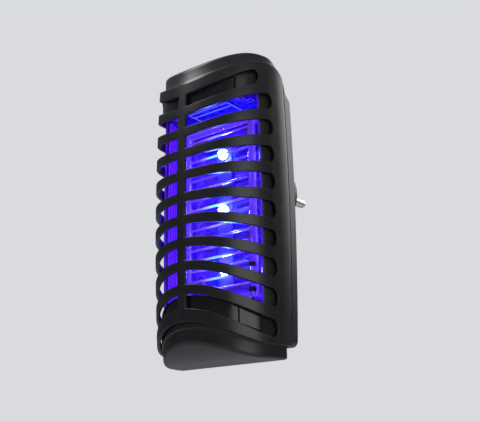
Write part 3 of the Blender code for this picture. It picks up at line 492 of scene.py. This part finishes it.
def work(piece, shape, operation):
    """Joins a shape to a piece or cuts it out of the piece."""
    tool = bpy.data.objects.new("tool", mesh_of("tool", shape))
    bpy.context.scene.collection.objects.link(tool)
    step = piece.modifiers.new("work", "BOOLEAN")
    step.object, step.operation, step.solver, step.use_self = tool, operation, "EXACT", True
    settle(piece)
    bpy.data.objects.remove(tool, do_unlink=True)


def round_edges(piece, width, segments, angle):
    """Eases the edges that turn by more than the angle, when the piece is drawn."""
    bevel = piece.modifiers.new("edges", "BEVEL")
    bevel.width, bevel.segments, bevel.limit_method = width, segments, "ANGLE"
    bevel.angle_limit = math.radians(angle)
    shading = piece.modifiers.new("shading", "WEIGHTED_NORMAL")
    shading.weight = 60


def ring(shape, points):
    """A closed loop of edges through the points."""
    verts = [shape.verts.new(point) for point in points]
    return [shape.edges.new(pair) for pair in zip(verts, verts[1:] + verts[:1])]


def skin(shape, loops):
    """Bridges loops of equal length one after the other and fills the first and last; gives the bands."""
    rings = [ring(shape, loop) for loop in loops]
    bands = []
    for near, far in zip(rings, rings[1:]):
        bands.append(bmesh.ops.bridge_loops(shape, edges=near + far)["faces"])
    for end in (rings[0], rings[-1]):
        bmesh.ops.contextual_create(shape, geom=end)
    bmesh.ops.recalc_face_normals(shape, faces=shape.faces)
    return bands


def turned(shape, profile, base, direction, steps=32):
    """A turned form: profile holds (radius, height) pairs, measured from the base along the direction."""
    base, direction = Vector(base), Vector(direction).normalized()
    across = direction.orthogonal().normalized()
    verts = [shape.verts.new(base + across * radius + direction * height) for radius, height in profile]
    edges = [shape.edges.new(pair) for pair in zip(verts, verts[1:])]
    bmesh.ops.spin(
        shape, geom=verts + edges, cent=base, axis=direction, angle=2 * math.pi, steps=steps,
        use_merge=True, use_duplicate=False,
    )
    bmesh.ops.remove_doubles(shape, verts=shape.verts, dist=1e-7)
    bmesh.ops.recalc_face_normals(shape, faces=shape.faces)


def rod(shape, start, end, diameter, steps=16, edge=0.0):
    """A round rod between two points, its ends eased."""
    start, end = Vector(start), Vector(end)
    turn = Vector((0, 0, 1)).rotation_difference(end - start).to_matrix().to_4x4()
    made = bmesh.ops.create_cone(
        shape, cap_ends=True, segments=steps, radius1=diameter / 2, radius2=diameter / 2,
        depth=(end - start).length, matrix=Matrix.Translation((start + end) / 2) @ turn,
    )
    if edge:
        sides = {e for v in made["verts"] for e in v.link_edges}
        rims = {e for e in sides if any(len(f.verts) > 4 for f in e.link_faces)}
        bmesh.ops.bevel(
            shape, geom=list(rims), offset=edge, offset_type="OFFSET", segments=3, profile=0.5,
            affect="EDGES", material=-1,
        )


def block(shape, low, high, edge=0.0):
    """A box between two corners, its edges eased."""
    low, high = Vector(low), Vector(high)
    place = Matrix.Translation((low + high) / 2) @ Matrix.Diagonal((*(high - low), 1.0))
    made = bmesh.ops.create_cube(shape, size=1.0, matrix=place)
    if edge:
        sides = {e for v in made["verts"] for e in v.link_edges}
        bmesh.ops.bevel(
            shape, geom=list(sides), offset=edge, offset_type="OFFSET", segments=2, profile=0.5,
            affect="EDGES", material=-1,
        )


def finished_node(node, finish, edge=0.0003, segments=2, angle=30.0, change=None):
    """A copy of a model node with its edges eased, after a change of its form if one is given."""
    shape = bmesh.new()
    shape.from_mesh(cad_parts[node].data)
    bmesh.ops.remove_doubles(shape, verts=shape.verts, dist=1e-6)
    bmesh.ops.recalc_face_normals(shape, faces=shape.faces)
    bmesh.ops.dissolve_limit(
        shape, angle_limit=math.radians(0.5), verts=shape.verts, edges=shape.edges
    )
    if change:
        change(shape)
    sharp = [
        e for e in shape.edges
        if len(e.link_faces) == 2 and e.calc_face_angle() > math.radians(angle)
    ]
    bmesh.ops.bevel(
        shape, geom=sharp, offset=edge, offset_type="OFFSET", segments=segments, profile=0.5,
        affect="EDGES", material=-1, clamp_overlap=True,
    )
    return add_piece("finished_" + node, shape, finish, [node])


# Form of the body

def ease(share):
    share = min(max(share, 0.0), 1.0)
    return 1 - (1 - share) ** 2


def quarter(steps):
    """Angles of a quarter turn in even steps."""
    return [math.pi / 2 * k / steps for k in range(steps + 1)]


def flare(y):
    return 1 + SLOT_FLARE * ease((y - NOSE_Y) / FLARE_DEPTH)


def end_height(y, side):
    """Height of the body's end edge from its middle; the top turns down at the rear."""
    height = HALF_STACK + RING_HEIGHT + END_RISE * ease((y - NOSE_Y) / END_RISE_DEPTH)
    turn = y - (SEAM_Y - CROWN_SETBACK - CROWN_RADIUS)
    if side > 0 and turn > 0:
        height -= CROWN_RADIUS - math.sqrt(max(CROWN_RADIUS ** 2 - turn ** 2, 0.0))
    return height


def narrowing(height):
    return 1 - END_NARROWING / (BODY_WIDTH / 2) * (height / FULL_END) ** 2


def plan_loop(inset, rear_y, scale):
    """The D-shaped plan, from the left rear corner round the nose to the right rear corner."""
    across = BODY_WIDTH / 2 * scale - inset
    ahead = NOSE_DEPTH * scale - inset
    right = [(across * math.sin(t), BOW_Y - ahead * math.cos(t)) for t in quarter(PLAN_STEPS)]
    right.append((across, rear_y))
    return [(-x, y) for x, y in reversed(right[1:])] + right


# Cage

def cage_columns():
    """Columns of the cage from the left rear edge over the nose to the right, as (side, step, turn)."""
    first = math.asin(POST_WIDTH / BODY_WIDTH)
    side = [first + (SLOT_END_TURN - first) * k / SLOT_STEPS for k in range(SLOT_STEPS + 1)]
    side += [SLOT_END_TURN + (math.pi / 2 - SLOT_END_TURN) * k / 3 for k in (1, 2, 3)] + [None]
    right = [(1, k, turn) for k, turn in enumerate(side)]
    return [(-1, k, turn) for _, k, turn in reversed(right)] + right


def cage_levels():
    """Levels of the cage from its lower ring to its upper ring, as (height at the nose, row, share)."""
    levels = [(-HALF_STACK - RING_HEIGHT, None, None)]
    shares = [k / SLOT_END_STEPS for k in range(SLOT_END_STEPS + 1)]
    for row in range(SLOT_ROWS):
        low = -HALF_STACK + row * (SLOT_HEIGHT + SLAT_HEIGHT)
        levels += [(low + share * SLOT_HEIGHT, row, share) for share in shares]
    return levels + [(HALF_STACK + RING_HEIGHT, None, None)]


def cage_point(side, turn, level):
    """A point of the cage's outer face."""
    if turn is None:
        x, y = BODY_WIDTH / 2, CAGE_REAR_Y
    else:
        x = BODY_WIDTH / 2 * math.sin(turn)
        y = BOW_Y - (NOSE_DEPTH - CAGE_EASE / 10) * math.cos(turn)
    up = 1 if level > 0 else -1
    edge = end_height(y, up)
    if abs(level) > HALF_STACK:
        height = up * edge
    else:
        height = level * flare(y) * min(1.0, (edge - RING_HEIGHT / 4) / (HALF_STACK * flare(y)))
    scale = narrowing(height)
    if y < BOW_Y:
        y = BOW_Y - (BOW_Y - y) * scale
    return Vector((side * x * scale, y, MIDDLE_Z + height))


def row_end(row):
    return TOP_ROW_STEPS if row == SLOT_ROWS - 1 else SLOT_STEPS


def end_setback(share):
    """How far the round end of a slot draws back at a share of the slot's height."""
    off_middle = SLOT_HEIGHT * (share - 0.5)
    return SLOT_END_RADIUS - math.sqrt(SLOT_END_RADIUS ** 2 - off_middle ** 2)


def make_cage():
    """The slotted cage: a grid bent round the bow, its slots opened, then given a wall and eased edges."""
    columns, levels = cage_columns(), cage_levels()
    wide, tall = len(columns) - 1, len(levels) - 1
    shape = bmesh.new()
    bmesh.ops.create_grid(shape, x_segments=wide, y_segments=tall, size=0.5)
    place = {v: (round((v.co.x + 0.5) * wide), round((v.co.y + 0.5) * tall)) for v in shape.verts}
    open_faces = []
    for face in shape.faces:
        i = min(place[v][0] for v in face.verts)
        j = min(place[v][1] for v in face.verts)
        row, near, far = levels[j][1], columns[i], columns[i + 1]
        in_row = row is not None and row == levels[j + 1][1]
        if in_row and near[0] == far[0] and max(near[1], far[1]) <= row_end(row):
            open_faces.append(face)
    bmesh.ops.delete(shape, geom=open_faces, context="FACES")
    for v in shape.verts:
        i, j = place[v]
        (side, step, turn), (level, row, share) = columns[i], levels[j]
        if row is not None and step == row_end(row):
            turn -= end_setback(share) / NOSE_DEPTH
        v.co = cage_point(side, turn, level)
    bmesh.ops.recalc_face_normals(shape, faces=shape.faces)
    front = min(shape.faces, key=lambda f: f.calc_center_median().y)
    if front.normal.y > 0:
        bmesh.ops.reverse_faces(shape, faces=shape.faces)
    cage = add_piece("slotted_cage", shape, SHELL, ["front_cage"])
    wall = cage.modifiers.new("wall", "SOLIDIFY")
    wall.thickness, wall.offset, wall.use_even_offset = CAGE_WALL, -1.0, True
    round_edges(cage, CAGE_EASE, 3, 40.0)


# Stepped ends

def end_loops(side):
    """Loops of an end piece, from the middle of its outer face over the skirt to its inside."""
    scale = narrowing(FULL_END)
    rear_y = CAGE_REAR_Y

    def at(inset, rise, pull=0.0, share=1.0):
        plan = plan_loop(inset, rear_y - pull, scale)
        middle_y = (rear_y + NOSE_Y) / 2
        plan = [(x * share, middle_y + (y - middle_y) * share) for x, y in plan]
        return [(x, y, MIDDLE_Z + side * (end_height(y, side) + rise)) for x, y in plan]

    def lip(inset, pull, level=SKIRT_LEVEL):
        plan = plan_loop(inset, rear_y - pull, scale)
        heights = [min(level * flare(y), end_height(y, side) - 3 * GAP) for x, y in plan]
        return [(x, y, MIDDLE_Z + side * height) for (x, y), height in zip(plan, heights)]

    inner = SKIRT_INSET + SKIRT_WALL
    loops = [at(TIER_INSET + TIER_ROUND, TIER_HEIGHT, TIER_ROUND, share) for share in FACE_SHARES]
    for turn in quarter(TIER_ROUND_STEPS):
        edge = TIER_ROUND * (1 - math.sin(turn))
        loops.append(at(TIER_INSET + edge, TIER_HEIGHT - TIER_ROUND * (1 - math.cos(turn)), edge))
    loops += [
        at(TIER_INSET, TIER_EASE),
        at(TIER_INSET - TIER_EASE, -GAP),
        at(SKIRT_INSET + TIER_EASE, -GAP),
        at(SKIRT_INSET, -2 * GAP),
        lip(SKIRT_INSET, 0.0, HALF_STACK - TAB_MARGIN),
        lip(SKIRT_INSET, 0.0),
        lip(inner, SKIRT_WALL),
        at(inner, -FLOOR_WALL, SKIRT_WALL),
        at(TIER_INSET + SKIRT_WALL, -FLOOR_WALL + GAP, SKIRT_WALL),
        at(TIER_INSET + SKIRT_WALL, TIER_HEIGHT - FLOOR_WALL, SKIRT_WALL),
    ]
    loops += [
        at(TIER_INSET + SKIRT_WALL, TIER_HEIGHT - FLOOR_WALL, SKIRT_WALL, share)
        for share in FLOOR_SHARES
    ]
    return loops


def sink_tab_grooves(shape, band):
    """Grooves round a snap tab on each side of the skirt."""
    for side in (-1, 1):
        tab = []
        for face in band:
            middle = face.calc_center_median()
            turn = math.atan2(abs(middle.x), BOW_Y - middle.y)
            if middle.x * side > 0 and TAB_TURNS[0] < turn < TAB_TURNS[1]:
                tab.append(face)
        for depth in (-TAB_GROOVE, TAB_GROOVE):
            bmesh.ops.inset_region(
                shape, faces=tab, thickness=TAB_GROOVE, depth=depth, use_even_offset=True
            )


def make_end(name, side, node, body):
    """The stepped cap or tray, with a glossier skirt behind the end row of slots."""
    shape = bmesh.new()
    bands = skin(shape, end_loops(side))
    sink_tab_grooves(shape, bands[TAB_BAND])
    piece = add_piece(name, shape, SHELL, [node], body, END_SMOOTH_TURN)
    piece.data.materials.append(SKIRT)
    limit = HALF_STACK + RING_HEIGHT / 2
    for face in piece.data.polygons:
        if abs(face.center.z - MIDDLE_Z) < max(limit, end_height(face.center.y, side) - RING_HEIGHT / 2):
            face.material_index = 1


# Rear housing

def front_loop(y, half, low, high, corner, inset=0.0):
    """A rounded upright rectangle at one depth, its long sides drawn in towards the ends."""
    half, low, high = half - inset, low + inset, high - inset
    corner = max(corner - inset, GAP)
    foot, head = low + corner, high - corner
    points = []
    for k, (side, z, start) in enumerate(((1, foot, -90), (1, head, 0), (-1, head, 90), (-1, foot, 180))):
        for i in range(CORNER_STEPS + 1):
            angle = math.radians(start + 90 * i / CORNER_STEPS)
            points.append((side * (half - corner) + corner * math.cos(angle), z + corner * math.sin(angle)))
        if k in (0, 2):
            near, far = (foot, head) if k == 0 else (head, foot)
            points += [(side * half, near + (far - near) * i / SIDE_STEPS) for i in range(1, SIDE_STEPS)]
    return [(x * narrowing(z), y, MIDDLE_Z + z) for x, z in points]


def housing_sections():
    rim_y = CAGE_REAR_Y + GAP
    knee_y = SEAM_Y - CROWN_SETBACK
    half = BODY_WIDTH / 2
    knee_high = end_height(knee_y, 1)
    seam = (half, -FULL_END, knee_high - CROWN_SETBACK, HOUSING_CORNER)
    back = (BACK_HALF_WIDTH, -BACK_LOW, BACK_HIGH, BACK_CORNER)
    shoulder = [near + (far - near) * SHOULDER_SHARE for near, far in zip(seam, back)]
    return [
        (rim_y, half, -FULL_END, end_height(rim_y, 1), HOUSING_CORNER),
        (knee_y, half, -FULL_END, knee_high, HOUSING_CORNER),
        (SEAM_Y, *seam),
        (SEAM_Y + SHOULDER_DEPTH, *shoulder),
        (BACK_Y, *back),
    ]


def screw_places():
    """Where the four screws stand and the ends of each, from their boxes in the model."""
    places = []
    for k in range(1, 5):
        low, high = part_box(f"housing_screw_{k}")
        places.append(((low.x + high.x) / 2, (low.z + high.z) / 2, low.y, high.y))
    return places


def make_housing():
    """Tapered rear housing with its screw bosses, their recesses and the seat of the plug."""
    sections = housing_sections()
    shape = bmesh.new()
    loops = [front_loop(*section) for section in reversed(sections)]
    loops += [front_loop(*section, inset=HOUSING_WALL) for section in sections[:-1]]
    loops.append(front_loop(BACK_Y - HOUSING_WALL, *sections[-1][1:], inset=HOUSING_WALL))
    skin(shape, loops)
    housing = add_piece("tapered_housing", shape, SHELL, ["rear_housing"])
    posts, recesses, ways = bmesh.new(), bmesh.new(), bmesh.new()
    inside, past = BACK_Y - HOUSING_WALL / 2, BACK_Y + HOUSING_WALL
    for x, z, _, head_y in screw_places():
        seat_y = head_y - SCREW_HEAD - GAP
        rod(posts, (x, CAGE_REAR_Y, z), (x, inside, z), SCREW_BOSS, 24)
        rod(recesses, (x, seat_y, z), (x, past, z), SCREW_RECESS, 24)
        rod(ways, (x, CAGE_REAR_Y - GAP, z), (x, seat_y + GAP, z), SCREW_SHANK + 2 * GAP, 20)
    low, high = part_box("driver_board")
    for x in (-STANDOFF_X, STANDOFF_X):
        for z in (low.z + STANDOFF_INSET, high.z - STANDOFF_INSET):
            rod(posts, (x, high.y + GAP, z), (x, inside, z), STANDOFF, 20)
    work(housing, posts, "UNION")
    work(housing, recesses, "DIFFERENCE")
    work(housing, ways, "DIFFERENCE")
    spigot = bmesh.new()
    rod(spigot, (0, BACK_Y - 2 * HOUSING_WALL, 0), (0, past, 0), 2 * (SPIGOT_RADIUS + GAP), 48)
    work(housing, spigot, "DIFFERENCE")
    round_edges(housing, HOUSING_EASE, 3, 25.0)


# Plug and screws

def make_plug():
    """Round plug boss with eased rims and earth-clip notches, and its two round pins."""
    seat_y = BACK_Y + GAP
    spigot_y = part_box("plug_base")[0].y
    shape = bmesh.new()
    rim = [
        (BOSS_RADIUS - BOSS_ROUND * (1 - math.sin(t)), -BOSS_ROUND * (1 - math.cos(t)))
        for t in quarter(4)
    ]
    profile = [
        (0.0, -FACE_RECESS), (FACE_RECESS_RADIUS, -FACE_RECESS), (FACE_RECESS_RADIUS + FACE_RECESS, 0.0),
        *rim,
        (BOSS_RADIUS, seat_y + BOSS_EASE), (BOSS_RADIUS - BOSS_EASE, seat_y),
        (SPIGOT_RADIUS, seat_y), (SPIGOT_RADIUS, spigot_y), (0.0, spigot_y),
    ]
    turned(shape, profile, (0, 0, 0), (0, 1, 0), 64)
    plug = add_piece("plug_boss", shape, PLUG, ["plug_base"])
    ways = bmesh.new()
    for node in ("plug_pin_left", "plug_pin_right"):
        low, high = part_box(node)
        x = (low.x + high.x) / 2
        rod(ways, (x, spigot_y - CUT_PAST, 0), (x, CUT_PAST, 0), high.x - low.x + 2 * GAP, 32)
    work(plug, ways, "DIFFERENCE")
    notches = bmesh.new()
    for side in (-1, 1):
        near, far = side * (BOSS_RADIUS - NOTCH_DEPTH), side * 2 * BOSS_RADIUS
        low = (-NOTCH_WIDTH / 2, seat_y + NOTCH_DEPTH, min(near, far))
        block(notches, low, (NOTCH_WIDTH / 2, 2 * CUT_PAST, max(near, far)))
    work(plug, notches, "DIFFERENCE")
    round_edges(plug, 0.0003, 2, 35.0)
    for node in ("plug_pin_left", "plug_pin_right"):
        low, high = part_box(node)
        radius, length = (high.x - low.x) / 2, high.y - low.y
        tip = [
            (radius * math.sin(t), length - radius * (1 - math.cos(t)))
            for t in quarter(8)
        ]
        shape = bmesh.new()
        turned(shape, tip + [(radius, 0.0), (0.0, 0.0)], ((low.x + high.x) / 2, low.y, 0), (0, 1, 0))
        add_piece("round_" + node, shape, PIN, [node])


def make_screws():
    """Pan-head screws with a crossed recess."""
    for k, (x, z, tip_y, head_y) in enumerate(screw_places()):
        node = f"housing_screw_{k + 1}"
        radius, shank = (SCREW_RECESS - 2 * GAP) / 2, SCREW_SHANK / 2
        length = head_y - SCREW_HEAD - tip_y
        dome = [
            (radius * math.sin(t), SCREW_HEAD * (0.45 + 0.55 * math.cos(t)))
            for t in quarter(6)
        ]
        profile = [
            *dome, (radius, 0.0), (shank, 0.0),
            (shank, shank - length), (shank / 2, -length), (0.0, -length),
        ]
        shape = bmesh.new()
        turned(shape, profile, (x, head_y - SCREW_HEAD, z), (0, 1, 0), 32)
        screw = add_piece("cross_" + node, shape, SCREW, [node])
        cross = bmesh.new()
        for wide, tall in (SCREW_CROSS, SCREW_CROSS[::-1]):
            low = (x - wide / 2, head_y - SCREW_CROSS_DEPTH, z - tall / 2)
            block(cross, low, (x + wide / 2, head_y + CUT_PAST / 2, z + tall / 2))
        work(screw, cross, "DIFFERENCE")


# Grid and lights

def make_grid():
    """Clear frame on four legs, two combs of drawn wire and the clips on their uprights."""
    low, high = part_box("grid_frame")
    front_y, rear_y = low.y, low.y + GRID_POST
    half, tall = GRID_HALF_WIDTH + GRID_POST / 2, GRID_HALF_HEIGHT + GRID_POST / 2
    shape = bmesh.new()
    block(shape, (-half, front_y, MIDDLE_Z - tall), (half, rear_y, MIDDLE_Z + tall), FRAME_EASE)
    clear = add_piece("clear_grid_frame", shape, CLEAR, ["grid_frame"])
    window = bmesh.new()
    gap, drop = half - GRID_POST, tall - GRID_POST
    near_y, far_y = front_y - CUT_PAST, rear_y + CUT_PAST
    block(window, (-gap, near_y, MIDDLE_Z - drop), (gap, far_y, MIDDLE_Z + drop))
    work(clear, window, "DIFFERENCE")
    legs = bmesh.new()
    for x in (-GRID_HALF_WIDTH, GRID_HALF_WIDTH):
        for z in (-GRID_HALF_HEIGHT, GRID_HALF_HEIGHT):
            rod(legs, (x, (front_y + rear_y) / 2, MIDDLE_Z + z), (x, high.y, MIDDLE_Z + z), GRID_LEG, 24)
    work(clear, legs, "UNION")
    round_edges(clear, 0.0002, 2, 40.0)
    comb_y = front_y - GAP - BUS_DIAMETER / 2
    combs = (("live_comb", "live_grid", -1, 0), ("return_comb", "return_grid", 1, 1))
    for name, node, side, first in combs:
        bus_low, bus_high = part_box(node)
        bus_x = side * GRID_HALF_WIDTH
        free_x = -side * (GRID_HALF_WIDTH - BUS_DIAMETER / 2 - GAP - BAR_DIAMETER / 2)
        bus = bmesh.new()
        rod(bus, (bus_x, comb_y, bus_low.z), (bus_x, comb_y, bus_high.z), BUS_DIAMETER, 16, WIRE_EASE)
        comb = add_piece(name, bus, GRID_WIRE, [node])
        bars = bmesh.new()
        for k in range(first, BARS, 2):
            z = MIDDLE_Z + (k - (BARS - 1) / 2) * BAR_PITCH
            rod(bars, (bus_x, comb_y, z), (free_x, comb_y, z), BAR_DIAMETER, 14, WIRE_EASE)
        work(comb, bars, "UNION")
        clips, ways = bmesh.new(), bmesh.new()
        half, reach = CLIP_WIDTH / 2, BUS_DIAMETER / 2 + GAP
        for z in CLIP_LEVELS:
            foot, head = MIDDLE_Z + z - CLIP_HEIGHT / 2, MIDDLE_Z + z + CLIP_HEIGHT / 2
            block(clips, (bus_x - half, comb_y - reach, foot), (bus_x + half, front_y, head), WIRE_EASE)
            rod(ways, (bus_x, comb_y, foot - GAP), (bus_x, comb_y, head + GAP), BUS_DIAMETER, 16)
        clip = add_piece(name + "_clips", clips, HEADER, [])
        work(clip, ways, "DIFFERENCE")


def make_lights():
    """Domed lights on their board."""
    finished_node("led_board", LIGHT_BOARD, 0.0002)
    for node in ("uv_led_upper", "uv_led_middle", "uv_led_lower"):
        low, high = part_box(node)
        x, z, base_y = (low.x + high.x) / 2, (low.z + high.z) / 2, high.y
        height, wide = high.y - low.y, (high.x - low.x) / 2
        dome = [
            (LENS_RADIUS * math.sin(t), height - LENS_RADIUS * (1 - math.cos(t)))
            for t in quarter(10)
        ]
        profile = [
            *dome, (LENS_RADIUS, LENS_FLANGE + LENS_EASE), (LENS_RADIUS + LENS_EASE / 2, LENS_FLANGE),
            (wide - LENS_EASE / 2, LENS_FLANGE), (wide, LENS_FLANGE - LENS_EASE), (wide, 0.0), (0.0, 0.0),
        ]
        shape = bmesh.new()
        turned(shape, profile, (x, base_y, z), (0, -1, 0), 40)
        add_piece("lit_" + node, shape, LIGHT, [node])


# Lining and electronics

def make_ceiling():
    """Ceiling over the grid, with ribs below it and collared square eyes at its front corners."""
    low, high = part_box("upper_reflector")
    ceiling = finished_node("upper_reflector", CEILING, 0.0002)
    ribs, eyes = bmesh.new(), bmesh.new()
    under, within, half = low.z - CEILING_RIB, low.z + CEILING_RIB / 4, CEILING_RIB / 2
    for y in CEILING_RIB_ROWS:
        block(ribs, (-CEILING_RIB_X, y - half, under), (CEILING_RIB_X, y + half, within))
    for x in (-CEILING_RIB_X, CEILING_RIB_X):
        block(ribs, (x - half, CEILING_RIB_ROWS[1], under), (x + half, high.y - CEILING_RIB, within))
    reach = Vector((CEILING_EYE / 2, CEILING_EYE / 2, high.z - low.z + CEILING_RIB))
    edge = Vector((CEILING_COLLAR, CEILING_COLLAR, 0.0))
    for side in (-1, 1):
        for x, y in CEILING_EYES:
            place = Vector((side * x, y, low.z))
            near, far = place - reach, place + reach
            block(eyes, near, far)
            near.z, far.z = under, within
            block(ribs, near - edge, far + edge)
    work(ceiling, ribs, "UNION")
    work(ceiling, eyes, "DIFFERENCE")
    # The ribs under the ceiling take a brighter copy of its painted violet light
    ceiling.data.materials.append(RIB)
    for face in ceiling.data.polygons:
        if face.center.z < under + CEILING_RIB / 4:
            face.material_index = 1


def swell(shape):
    """Draws the front of an upright wall out towards the cage, which is widest at mid height."""
    low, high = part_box("inner_tub")
    reach = (high.z - low.z) / 2
    for k in range(1, SWELL_STEPS):
        level = low.z + (high.z - low.z) * k / SWELL_STEPS
        bmesh.ops.bisect_plane(
            shape, geom=shape.verts[:] + shape.edges[:] + shape.faces[:], dist=1e-7,
            plane_co=(0, 0, level), plane_no=(0, 0, 1),
        )
    for v in shape.verts:
        if abs(v.co.x) < GRID_HALF_WIDTH:
            continue
        share = min(max((BOW_Y - v.co.y) / (BOW_Y - low.y), 0.0), 1.0)
        ratio = narrowing(v.co.z - MIDDLE_Z) / narrowing(reach)
        v.co.x *= 1 + (ratio - 1) * share


def make_inside():
    """The tub with its lit edges and pillars, its lining, and the boards and parts behind it."""
    tub = finished_node("inner_tub", TUB, 0.0003, change=swell)
    tub.data.materials.append(RIBBED_LINING)
    tub.data.materials.append(PILLAR)
    front_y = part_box("inner_tub")[0].y
    sheet_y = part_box("reflector")[1].y
    # The tub's front edges take the side lining's painted violet light, and the pillars in front of the
    # sheet a faint painted violet glow
    for face in tub.data.polygons:
        if face.center.y < front_y + CAGE_EASE:
            face.material_index = 1
        elif face.center.y < sheet_y and abs(face.center.x) < GRID_HALF_WIDTH:
            face.material_index = 2
    finished_node("reflector", MIRROR, 0.00018)
    for side in ("left", "right"):
        finished_node(f"side_reflector_{side}", RIBBED_LINING, 0.00018, change=swell)
    finished_node("driver_board", DRIVER_BOARD, 0.0002)
    finished_node("board_header", HEADER, 0.0003)
    finished_node("dropper_capacitor", CAPACITOR, 0.0008, 3)
    for k in range(1, 5):
        finished_node(f"multiplier_capacitor_{k}", CAPACITOR, 0.0006, 3)
        finished_node(f"multiplier_diode_{k}", DIODE, 0.0001, 1, 60.0)
    finished_node("smoothing_capacitor", SLEEVE, 0.0001, 1, 60.0)
    finished_node("bleed_resistor", RESISTOR, 0.0001, 1, 60.0)
    for side in ("left", "right"):
        finished_node(f"contact_strap_{side}", STRAP, 0.00012)
    for node, finish, slot in (
        ("hv_lead_live", LEAD_RED, "lead_red"), ("hv_lead_return", LEAD_BLACK, "lead_black")
    ):
        finished_node(node, finish, 0.0001, 1, 70.0)


make_cage()
make_end("stepped_cap", 1, "top_cap", "housing")
make_end("pull_down_tray", -1, "insect_tray", "tray")
make_housing()
make_plug()
make_screws()
make_grid()
make_lights()
make_inside()
make_ceiling()


# Stage, light and camera

def make_stage():
    """Pale round floor well below the part; the view sees it as pale as the backdrop."""
    finish, tree, surface = new_finish("pale_floor")
    colour = tones(tree, grain(tree, 3.0), (0.54, 0.55, 0.57), (0.58, 0.59, 0.61))
    tree.links.new(colour, surface.inputs["Base Color"])
    surface.inputs["Roughness"].default_value = 0.8
    pale = add_node(tree, "ShaderNodeEmission", {"Color": BACKDROP})
    rays = add_node(tree, "ShaderNodeLightPath")
    mix = add_node(tree, "ShaderNodeMixShader")
    tree.links.new(rays.outputs["Is Camera Ray"], mix.inputs["Fac"])
    tree.links.new(surface.outputs["BSDF"], mix.inputs[1])
    tree.links.new(pale.outputs["Emission"], mix.inputs[2])
    tree.links.new(mix.outputs["Shader"], tree.nodes["Material Output"].inputs["Surface"])
    shape = bmesh.new()
    place = Matrix.Translation((0, 0, FLOOR_Z))
    bmesh.ops.create_circle(shape, cap_ends=True, segments=96, radius=FLOOR_RADIUS, matrix=place)
    floor = bpy.data.objects.new("pale_floor", mesh_of("pale_floor", shape))
    bpy.context.scene.collection.objects.link(floor)
    floor.data.materials.append(finish)


def make_world():
    """Soft light from above; the view, also through clear pieces, sees a pale backdrop."""
    world = bpy.data.worlds.new("studio")
    bpy.context.scene.world = world
    world.use_nodes = True
    tree = world.node_tree
    backdrop = tree.nodes["Background"]
    upward = add_node(tree, "ShaderNodeSeparateXYZ")
    tree.links.new(add_node(tree, "ShaderNodeTexCoord").outputs["Generated"], upward.inputs["Vector"])
    sky = tones(tree, upward.outputs["Z"], (0.08, 0.082, 0.088), (0.52, 0.53, 0.55), 0.40, 0.85)
    tree.links.new(sky, backdrop.inputs["Color"])
    pale = add_node(tree, "ShaderNodeBackground", {"Color": BACKDROP})
    rays = add_node(tree, "ShaderNodeLightPath")
    seen = add_node(tree, "ShaderNodeMath", operation="MAXIMUM")
    tree.links.new(rays.outputs["Is Camera Ray"], seen.inputs[0])
    tree.links.new(rays.outputs["Is Transmission Ray"], seen.inputs[1])
    mix = add_node(tree, "ShaderNodeMixShader")
    tree.links.new(seen.outputs["Value"], mix.inputs["Fac"])
    tree.links.new(backdrop.outputs["Background"], mix.inputs[1])
    tree.links.new(pale.outputs["Background"], mix.inputs[2])
    tree.links.new(mix.outputs["Shader"], tree.nodes["World Output"].inputs["Surface"])


def add_lamp(name, place, aim, size, power):
    lamp = bpy.data.lights.new(name, "AREA")
    lamp.shape, lamp.size, lamp.energy = "DISK", size, power
    made = bpy.data.objects.new(name, lamp)
    bpy.context.scene.collection.objects.link(made)
    made.location = place
    made.rotation_mode = "QUATERNION"
    made.rotation_quaternion = (Vector(aim) - Vector(place)).to_track_quat("-Z", "Y")


def make_camera():
    """Camera below the part and to its right."""
    aim = Vector((0.0, SEAM_Y, MIDDLE_Z))
    level = math.cos(VIEW_RISE)
    back = Vector((math.sin(VIEW_TURN) * level, -math.cos(VIEW_TURN) * level, math.sin(VIEW_RISE)))
    camera = bpy.data.cameras.new("view")
    camera.lens, camera.sensor_width = VIEW_LENS, 36.0
    camera.shift_x, camera.shift_y = VIEW_SHIFT
    camera.clip_start = 0.01
    made = bpy.data.objects.new("view", camera)
    bpy.context.scene.collection.objects.link(made)
    made.location = aim + back * VIEW_DISTANCE
    made.rotation_mode = "QUATERNION"
    made.rotation_quaternion = (-back).to_track_quat("-Z", "Y") @ Quaternion((0, 0, 1), -VIEW_ROLL)
    bpy.context.scene.camera = made


make_stage()
make_world()
add_lamp("key", (-0.46, -0.62, 0.95), (0, -0.05, 0), 0.6, 7.0)
add_lamp("fill", (0.9, -0.5, 0.1), (0, -0.05, 0), 0.8, 3.0)
add_lamp("back", (0.3, 0.9, 0.5), (0, -0.03, 0), 0.7, 5.0)
make_camera()
bpy.context.scene.view_settings.view_transform = "Standard"
